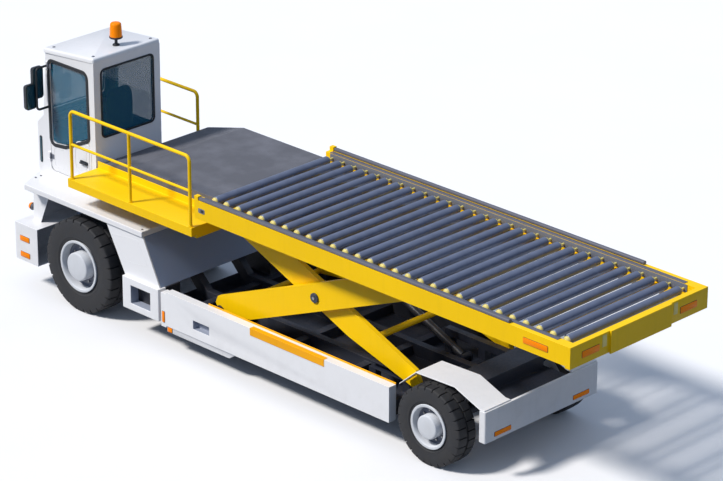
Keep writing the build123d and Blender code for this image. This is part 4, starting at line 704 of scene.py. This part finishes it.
# Deck rollers: sleeves with rounded ends, pale caps and journals
deck = body_of_node["deck_frame"]
first, last, count, roller_z = 1.128, -4.450, 29, 2.131
deck_side_y, deck_end_x = 1.161, -4.691
sleeves, caps = [], []
for x in np.linspace(first, last, count):
    end = [(0.054, 0.926), (0.0535, 0.932), (0.050, 0.935), (0.030, 0.935)]
    sleeves.append(revolved([(r, -y) for r, y in end[::-1]] + end, (x, 0, roller_z), "y", 32))
    for s in (1, -1):
        caps.append(revolved([(0.046, s * 0.928), (0.046, s * 0.944), (0.042, s * 0.955), (0.034, s * 0.962),
                              (0.016, s * 0.964), (0.014, s * 0.966), (0.014, s * 1.036)],
                             (x, 0, roller_z), "y", 24))
piece("roller_sleeves", joined(sleeves), deck, "roller_steel", hides=("deck_rollers",))
piece("roller_caps", joined(caps), deck, cap_finish, "roller_steel")

# Roller rails: an upright bar on each beam's inner side that holds the journals
bars = []
for name, s in SIDES:
    bars.append(slab(rounded_rect(0.007, 0.096, 0.003, 2), first - last + 0.09, 0.003,
                     (last - 0.045, s * 1.0315, 2.136), Y, Z))
piece("roller_rails", joined(bars), deck, rail_grey, "roller_steel")

# Guide rails: a round-topped lip and a flat strip inside it, both sides
lips = []
for name, s in SIDES:
    lips.append(slab(rounded_rect(0.052, 0.044, 0.018), 4.978, 0.012, (-3.790, s * 1.132, 2.207), Y, Z))
    lips.append(slab(rounded_rect(0.062, 0.006, 0.002, 2), 5.638, 0.002, (-4.450, s * 1.067, 2.188), Y, Z))
piece("guide_rails", joined(lips), deck, rail_finish, slot_of_node["deck_rails"], hides=("deck_rails",))

# Door: white panel, black window frame whose lower edge drops to the front, glass, handle and hinges
cab = body_of_node["cab_shell"]
door = body_of_node["cab_door"]
left_y, right_y, mid_y, rear_x = 0.692, -0.406, 0.143, 3.572
roof_rear_z, roof_front_z, screen_top_x, screen_foot_z = 3.175, 3.096, 4.480, 2.240
leaf = rounded([(4.433, 1.537), (4.433, 3.013), (3.697, 3.013), (3.697, 1.537)], 0.075)
window = rounded([(4.405, 1.905), (4.416, 2.990), (3.722, 2.990), (3.712, 2.135), (4.150, 1.935)], 0.060)
pane = inset(window, 0.012)
flip = np.array([-1.0, 1.0])
piece("door_leaf",
      framed(leaf * flip, window * flip, 0.034, 0.005, (0, left_y - 0.034, 0), REARWARD, Z),
      door, "white_paint", hides=("cab_door",))
piece("door_seal",
      gasket(window * flip, bead(0.044, 0.012), (0, left_y - 0.002, 0), REARWARD, Z),
      door, seal_finish, "black_plastic")
piece("door_pane",
      slab(pane * flip, 0.006, 0.001, (0, left_y - 0.020, 0), REARWARD, Z),
      door, "tinted_glass", hides=("door_glass",))
handle_x, handle_z = 3.800, 1.80
grip = [(handle_x + reach, left_y + off, handle_z)
        for reach, off in ((-0.055, 0.004), (-0.055, 0.034), (0.055, 0.034), (0.055, 0.004))]
piece("door_handle",
      joined([slab(rounded_rect(0.150, 0.052, 0.020), 0.010, 0.004, (handle_x, left_y, handle_z), REARWARD, Z),
              tube(bent(grip, 0.014), 0.008, 12)]),
      door, "black_plastic")
panel_line = rounded([(4.360, 1.600), (4.372, 1.845), (4.130, 1.865), (3.760, 2.035), (3.760, 1.600)], 0.040)
piece("door_press_line",
      gasket(panel_line * flip, bead(0.007, 0.003), (0, left_y - 0.0005, 0), REARWARD, Z),
      door, "white_paint")

recess = rounded([(3.962, 1.660), (3.962, 2.060), (3.672, 2.060), (3.672, 1.660)], 0.110)
piece("door_recess_rim",
      gasket(recess * flip, bead(0.016, 0.006), (0, left_y - 0.001, 0), REARWARD, Z),
      door, "white_paint")
knuckles = []
for z in (1.720, 2.930):
    knuckles.append(revolved([(0.004, -0.035), (0.011, -0.035), (0.013, -0.032), (0.013, 0.032), (0.011, 0.035),
                              (0.004, 0.035)], (4.433, left_y + 0.013, z), "z", 24))
    knuckles.append(slab(rounded_rect(0.052, 0.064, 0.010), 0.006, 0.002, (4.402, left_y, z), REARWARD, Z))
piece("door_hinge_knuckles", joined(knuckles), door, rail_grey, slot_of_node["cab_door"])

# Side slots in the cab's nose: a dark rim round a narrow teal pane
for name, y, s in (("left", left_y, 1), ("right", right_y, -1)):
    piece(f"nose_slot_rim_{name}",
          slab(rounded_rect(0.050, 0.360, 0.024, 6), 0.005, 0.002, (4.626, y, 1.765), (-s, 0, 0), Z),
          cab, seal_finish, "black_plastic")
    piece(f"nose_slot_pane_{name}",
          slab(rounded_rect(0.026, 0.330, 0.012, 6), 0.008, 0.002, (4.626, y, 1.765), (-s, 0, 0), Z),
          cab, mirror_glass, "black_plastic")

# Window seals: rear, right and front
piece("rear_seal",
      gasket(rounded_rect(0.890, 0.920, 0.072, 6), bead(0.026, 0.010), (rear_x, mid_y, 2.615), RIGHTWARD, Z),
      cab, seal_finish, "black_plastic")
piece("right_seal",
      gasket(rounded_rect(0.752, 0.982, 0.075, 6), bead(0.036, 0.010), (4.040, right_y, 2.535), X, Z),
      cab, seal_finish, "black_plastic")
lean = math.atan2(0.080, roof_front_z - screen_foot_z)
slope_up = (-math.sin(lean), 0, math.cos(lean))


def on_screen(y, z, off):
    """A point off by so much in front of the leaning windscreen."""
    return (screen_top_x + (roof_front_z - z) * math.tan(lean) + off, y, z)


piece("front_seal",
      gasket(rounded_rect(0.936, 0.744, 0.075, 6), bead(0.034, 0.010), on_screen(mid_y, 2.655, 0.0), Y,
             slope_up),
      cab, seal_finish, "black_plastic")

# Wiper: an arm from a pivot under the windscreen and a blade across it
pivot_y = mid_y - 0.340
wiper = [tube([on_screen(pivot_y, 2.300, 0.004), on_screen(pivot_y, 2.300, 0.026)], 0.014, 16),
         tube(bent([on_screen(pivot_y, 2.300, 0.022), on_screen(pivot_y + 0.04, 2.340, 0.026),
                    on_screen(mid_y - 0.060, 2.640, 0.024)], 0.02), 0.006, 10),
         tube([on_screen(mid_y - 0.200, 2.440, 0.014), on_screen(mid_y + 0.080, 2.840, 0.014)], 0.008, 8)]
piece("wiper", joined(wiper), cab, "black_plastic")

# Roof: plate with round edges, flush with the walls and jutting over the windscreen
fall = math.atan2(roof_rear_z - roof_front_z, screen_top_x - rear_x)
roof_t = 0.060
roof_along = (math.cos(fall), 0, -math.sin(fall))
roof_plan = rounded([(-0.004, -0.555), (0.945, -0.563), (0.945, 0.563), (-0.004, 0.555)], 0.030)
piece("roof_plate",
      slab(roof_plan, roof_t, 0.026, (rear_x, mid_y, 3.176), roof_along, Y),
      cab, "white_paint", flat_angle=50, hides=("cab_roof",))
plugs = [(x, y, 3.236 - (x - rear_x) * math.tan(fall)) for x in (3.655, 4.400) for y in (-0.330, 0.616)]
plug_shape = [(0.020, -0.004), (0.020, 0.004), (0.016, 0.008), (0.006, 0.009)]
piece("roof_plugs", joined([revolved(plug_shape, q, "z", 20) for q in plugs]), cab, rail_grey, "white_paint")

# Mirrors: rounded shells on a bent tube, each with a framed glass facing back
tube_x = 4.452
tube_path = bent([(tube_x, left_y - 0.002, 2.93), (tube_x, 0.880, 2.93), (tube_x, 0.880, 2.38),
                  (tube_x, left_y - 0.002, 2.38)], 0.05, 8)
piece("mirror_tube", tube(tube_path, 0.015, 16), cab, "black_plastic", hides=("mirrors",))
for k, (reach, z, w, h) in enumerate(((0.150, 2.735, 0.165, 0.420), (0.270, 2.575, 0.170, 0.330))):
    y = left_y + reach
    x0 = tube_x + 0.007
    piece(f"mirror_shell_{k}",
          slab(rounded_rect(w, h, 0.040, 6), 0.064, 0.024, (x0, y, z), Y, Z),
          cab, "black_plastic", flat_angle=50)
    piece(f"mirror_glass_{k}",
          slab(rounded_rect(w - 0.022, h - 0.022, 0.030, 6), 0.004, 0.0015, (x0 + 0.001, y, z), RIGHTWARD, Z),
          cab, mirror_glass, "black_plastic")

# Beacon: amber dome with a flat round top, dark collar, stem and foot
beacon_x, beacon_y, beacon_foot = 3.790, 0.120, 0.040
roof_slope = (roof_rear_z - roof_front_z) / (screen_top_x - rear_x)
beacon_z = roof_rear_z + 0.062 - (beacon_x - beacon_foot - rear_x) * roof_slope
dome_z = beacon_z + 0.108
stem = [(0.046, 0.0), (0.046, 0.010), (0.038, 0.018), (0.020, 0.024), (0.019, 0.080), (0.034, 0.088),
        (0.078, 0.096), (0.085, 0.102), (0.085, 0.116), (0.079, 0.120), (0.060, 0.121)]
piece("beacon_stem",
      revolved(stem, (beacon_x, beacon_y, beacon_z), "z", 40),
      cab, "black_plastic", hides=("beacon",))
dome = [(0.078, 0.012), (0.0775, 0.030), (0.0715, 0.160), (0.068, 0.175), (0.058, 0.186), (0.040, 0.191),
        (0.010, 0.192)]
piece("beacon_dome", revolved(dome, (beacon_x, beacon_y, dome_z), "z", 40), cab, "amber_lens")

# Reflectors: a rounded lens on a thin dark base; the round lamps have a grey body, a rim and a domed lens
chassis = body_of_node["chassis_frame"]
marks = {"chassis": [], "deck": []}
bodies_of = {"chassis": (chassis, "lamps"), "deck": (deck, "deck_markers")}
for name, s in SIDES:
    marks["chassis"].append(((-3.297, s * 0.668, 0.545), RIGHTWARD, 0.280, 0.060))
    for z in (0.672, 0.454):
        marks["chassis"].append(((4.527, s * 1.100, z), (-s, 0, 0), 0.185, 0.074))
    marks["chassis"].append(((1.903, s * 1.111, 0.435), (-s, 0, 0), 0.050, 0.150))
    marks["chassis"].append(((1.792, s * 1.107, 0.290), (-s, 0, 0), 0.086, 0.066))
    marks["deck"].append(((-4.192, s * deck_side_y, 2.066), (-s, 0, 0), 0.366, 0.076))
    marks["deck"].append(((deck_end_x, s * 0.826, 2.044), RIGHTWARD, 0.290, 0.084))
for owner, rows in marks.items():
    body, hidden = bodies_of[owner]
    bases = [slab(rounded_rect(w, h, 0.010), 0.003, 0.001, q, a, Z) for q, a, w, h in rows]
    covers = [slab(rounded_rect(w - 0.008, h - 0.008, 0.009), 0.009, 0.003, q, a, Z)
              for q, a, w, h in rows]
    piece(owner + "_reflector_bases", joined(bases), body, "black_plastic", "amber_lens", hides=(hidden,))
    # the reflector covers glow a little: painted glow
    piece(owner + "_reflectors", joined(covers), body, glowing_orange_finish, "amber_lens")
bodies, rims, glows = [], [], []
for name, s in SIDES:
    centre = (4.575, s * 0.840, 1.010)
    bodies.append(revolved([(0.024, -0.010), (0.024, 0.004), (0.016, 0.010), (0.016, 0.050), (0.030, 0.056),
                            (0.043, 0.066), (0.045, 0.070), (0.045, 0.078)], centre, "x", 40))
    rims.append(revolved([(0.040, 0.074), (0.049, 0.074), (0.050, 0.077), (0.050, 0.083), (0.046, 0.086),
                          (0.042, 0.085)], centre, "x", 40, True))
    glows.append(revolved([(0.045, 0.078), (0.045, 0.112), (0.041, 0.122), (0.031, 0.130), (0.012, 0.134)],
                          centre, "x", 40))
for name, parts, finish in (("round_lamp_bodies", bodies, rail_grey),
                            ("round_lamp_rims", rims, finishes["black_plastic"]),
                            ("round_lamp_lenses", glows, glowing_orange_finish)):
    piece(name, joined(parts), chassis, finish, "amber_lens")

# Small steel parts: slot plates on the deck beams' front ends, pale strips beside the end pad, bolt heads and
# press lines
slot_z, platform_z = 2.067, 1.434
pin_x, pin_head_y, pin_z = -0.490, 0.892, 1.365
plates, slot_shades, strips, heads, corner_heads, lines = [], [], [], [], [], []
for name, s in SIDES:
    plates.append(slab(rounded_rect(0.110, 0.060, 0.014), 0.004, 0.0015, (1.130, s * deck_side_y, slot_z),
                       (-s, 0, 0), Z))
    # a dark patch on each slot plate stands in for the slot's opening: painted shade, no hole is cut
    slot_shades.append(slab(rounded_rect(0.050, 0.036, 0.012), 0.006, 0.002, (1.118, s * deck_side_y, slot_z),
                      (-s, 0, 0), Z))
    strips.append(slab(rounded_rect(0.070, 0.140, 0.006), 0.003, 0.001, (deck_end_x, s * 0.600, 2.094),
                       RIGHTWARD, Z))
    heads.append(bolts([(pin_x, s * pin_head_y, pin_z)], (0, s, 0), 0.024, 0.012))
    spots = [(x, s * y, platform_z) for x, y in ((4.560, 0.771), (4.560, 0.860), (2.340, 1.040))]
    corner_heads.append(bolts(spots, Z, 0.014, 0.010))
    flank = rounded([(2.880, 1.237), (2.590, 0.950), (2.200, 0.985), (2.385, 1.290)], 0.020)
    flank = flank if s > 0 else flank[::-1]
    lines.append(gasket(flank * np.array([-s, 1.0]), bead(0.006, 0.002), (0, s * 1.0795, 0), (-s, 0, 0), Z))
for name, parts, body, finish, slot in (
        ("deck_slot_plates", plates, deck, rail_grey, "roller_steel"),
        ("deck_slots", slot_shades, deck, seal_finish, "black_plastic"),
        ("deck_end_strips", strips, deck, cap_finish, "yellow_paint"),
        ("pin_bolts", heads, body_of_node["centre_pins"], bolt_finish, "black_steel"),
        ("platform_bolts", corner_heads, chassis, bolt_finish, "white_paint"),
        ("housing_press_lines", lines, chassis, finishes["white_paint"], "white_paint")):
    piece(name, joined(parts), body, finish, slot)

# Seat pads: crowned closed forms with a piped edge, on the pedestal
def pad(w, d, h, crown, centre, across, up, fullness=4.0):
    """Superellipsoid pad: |x|^n + |y|^n = 1 in plan, its thickness falling to the piped edge, crowned by crown.

    half height = h/2 * (1 - rho^fullness)^0.5 + crown * (1 - rho^2), rho the plan radius share."""
    across, up = np.asarray(across, float), np.asarray(up, float)
    out = np.cross(across, up)
    a = np.linspace(0, 2 * math.pi, 72, endpoint=False)
    c, s = np.cos(a), np.sin(a)
    plan = (np.abs(c) ** 5 + np.abs(s) ** 5) ** -0.2
    pull = 1 - 0.018 * np.cos(4 * a) ** 2
    rho = 1 - np.linspace(1, 0, 19)[:, None] ** 2
    rho = np.concatenate([rho[1:], rho[-2:0:-1]])
    half = np.where(np.arange(len(rho))[:, None] < 18, 1, -1)
    thick = h / 2 * np.sqrt(np.clip(1 - rho ** fullness, 0, 1))
    channels = 0.006 * np.exp(-((np.abs(rho * plan * pull * c) - 0.42) / 0.05) ** 2)
    lift = half * thick + np.where(half > 0, crown * (1 - rho ** 2) - channels * (1 - rho ** 8), 0)
    x = rho * plan * pull * c * w / 2
    y = rho * plan * pull * s * d / 2
    points = np.asarray(centre) + x[..., None] * across + y[..., None] * up + lift[..., None] * out
    n = len(rho)
    faces = quads(n, 72, False, True)
    faces.append(tuple(range(72))[::-1])
    faces.append(tuple(range((n - 1) * 72, n * 72)))
    points = points.reshape(-1, 3)
    return points, outward(points, faces)


piece("seat_cushion",
                  pad(0.440, 0.430, 0.105, 0.012, (3.900, mid_y, 1.848), X, Y),
                  cab, "seat_cloth", flat_angle=60, hides=("seat",))
piece("seat_back",
                  pad(0.440, 0.740, 0.105, 0.010, (3.742, mid_y, 2.320), Y, Z),
                  cab, "seat_cloth", flat_angle=60)
piece("seat_base",
      joined([slab(rounded_rect(0.30, 0.34, 0.03), 0.32, 0.01, (3.900, mid_y, 1.475), X, Y),
              slab(rounded_rect(0.36, 0.36, 0.05), 0.012, 0.004, (3.900, mid_y, 1.784), X, Y),
              slab(rounded_rect(0.05, 0.46, 0.01), 0.012, 0.004, (3.682, mid_y, 2.02), Y, Z)]),
      cab, "black_plastic", "seat_cloth")

# Camera at the photograph's angle
AZIMUTH, ELEVATION, ROLL = 224.68, 23.012, 0.137
AIM, DISTANCE = (-4.808, 4.466, 4.468), 32.57
FOCAL_PIXELS, IMAGE_WIDTH, SENSOR = 3333.1, 723, 36.0
az, el, roll = (math.radians(a) for a in (AZIMUTH, ELEVATION, ROLL))
back = np.array([math.sin(az) * math.cos(el), -math.cos(az) * math.cos(el), math.sin(el)])
right = np.array([math.cos(az), math.sin(az), 0.0])
up = np.cross(back, right)
right, up = right * math.cos(roll) + up * math.sin(roll), up * math.cos(roll) - right * math.sin(roll)
eye = np.array(AIM) + back * DISTANCE
lens_data = bpy.data.cameras.new("camera")
lens_data.sensor_width = SENSOR
lens_data.lens = FOCAL_PIXELS / IMAGE_WIDTH * SENSOR
lens_data.clip_end = 400.0
camera = bpy.data.objects.new("camera", lens_data)
turned = np.eye(4)
turned[:3, 0], turned[:3, 1], turned[:3, 2], turned[:3, 3] = right, up, back, eye
camera.matrix_world = Matrix(turned.tolist())
bpy.context.scene.collection.objects.link(camera)
bpy.context.scene.camera = camera

# Pale floor
floor_board = Board("pale floor")
floor_tone = floor_board.blend(floor_board.noise(0.7, 3), (0.83, 0.83, 0.84, 1), (0.86, 0.86, 0.87, 1))
floor_board.surface(Base_Color=floor_tone, Roughness=0.9)
floor_mesh = bpy.data.meshes.new("floor")
reach = 60.0
floor_mesh.from_pydata([(-reach, -reach, 0), (reach, -reach, 0), (reach, reach, 0), (-reach, reach, 0)],
                       [], [(0, 1, 2, 3)])
floor_mesh.materials.append(floor_board.material)
floor = bpy.data.objects.new("floor", floor_mesh)
bpy.context.scene.collection.objects.link(floor)
floor.visible_diffuse = False

# World: a graded sky lights the part, and the camera sees plain near-white behind it
SKY_LOW, SKY_HIGH, SKY_STRENGTH, BACKDROP = (0.13, 0.16, 0.21, 1), (0.50, 0.63, 0.86, 1), 0.62, 0.95
world = bpy.data.worlds.new("studio")
bpy.context.scene.world = world
world.use_nodes = True
sky = world.node_tree
sky.nodes.clear()
out = sky.nodes.new("ShaderNodeOutputWorld")
way = sky.nodes.new("ShaderNodeTexCoord")
parts = sky.nodes.new("ShaderNodeSeparateXYZ")
sky.links.new(way.outputs["Generated"], parts.inputs[0])
height = sky.nodes.new("ShaderNodeMapRange")
height.inputs[1].default_value, height.inputs[2].default_value = -0.12, 0.35
sky.links.new(parts.outputs[2], height.inputs[0])
grade = sky.nodes.new("ShaderNodeMix")
grade.data_type = "RGBA"
grade.inputs[6].default_value, grade.inputs[7].default_value = SKY_LOW, SKY_HIGH
sky.links.new(height.outputs[0], grade.inputs[0])
lit = sky.nodes.new("ShaderNodeBackground")
sky.links.new(grade.outputs[2], lit.inputs[0])
lit.inputs[1].default_value = SKY_STRENGTH
shown = sky.nodes.new("ShaderNodeBackground")
shown.inputs[0].default_value, shown.inputs[1].default_value = (1, 1, 1, 1), BACKDROP
rays = sky.nodes.new("ShaderNodeLightPath")
pick = sky.nodes.new("ShaderNodeMixShader")
sky.links.new(rays.outputs["Is Camera Ray"], pick.inputs[0])
sky.links.new(lit.outputs[0], pick.inputs[1])
sky.links.new(shown.outputs[0], pick.inputs[2])
sky.links.new(pick.outputs[0], out.inputs[0])

# Key light: one soft warm sun from the left front, its disc 10 degrees wide
SUN_PLACE, SUN_AIM = np.array([6.0, 12.0, 16.0]), np.array([0.0, 0.0, 1.0])
sun_data = bpy.data.lights.new("key", "SUN")
sun_data.energy = 3.7
sun_data.color = (1.0, 0.965, 0.92)
sun_data.angle = math.radians(10.0)
sun = bpy.data.objects.new("key", sun_data)
away = (SUN_PLACE - SUN_AIM) / np.linalg.norm(SUN_PLACE - SUN_AIM)
side = np.cross(Z, away)
side /= np.linalg.norm(side)
turned[:3, 0], turned[:3, 1], turned[:3, 2], turned[:3, 3] = side, np.cross(away, side), away, SUN_PLACE
sun.matrix_world = Matrix(turned.tolist())
bpy.context.scene.collection.objects.link(sun)

bpy.context.scene.view_settings.view_transform = "Standard"
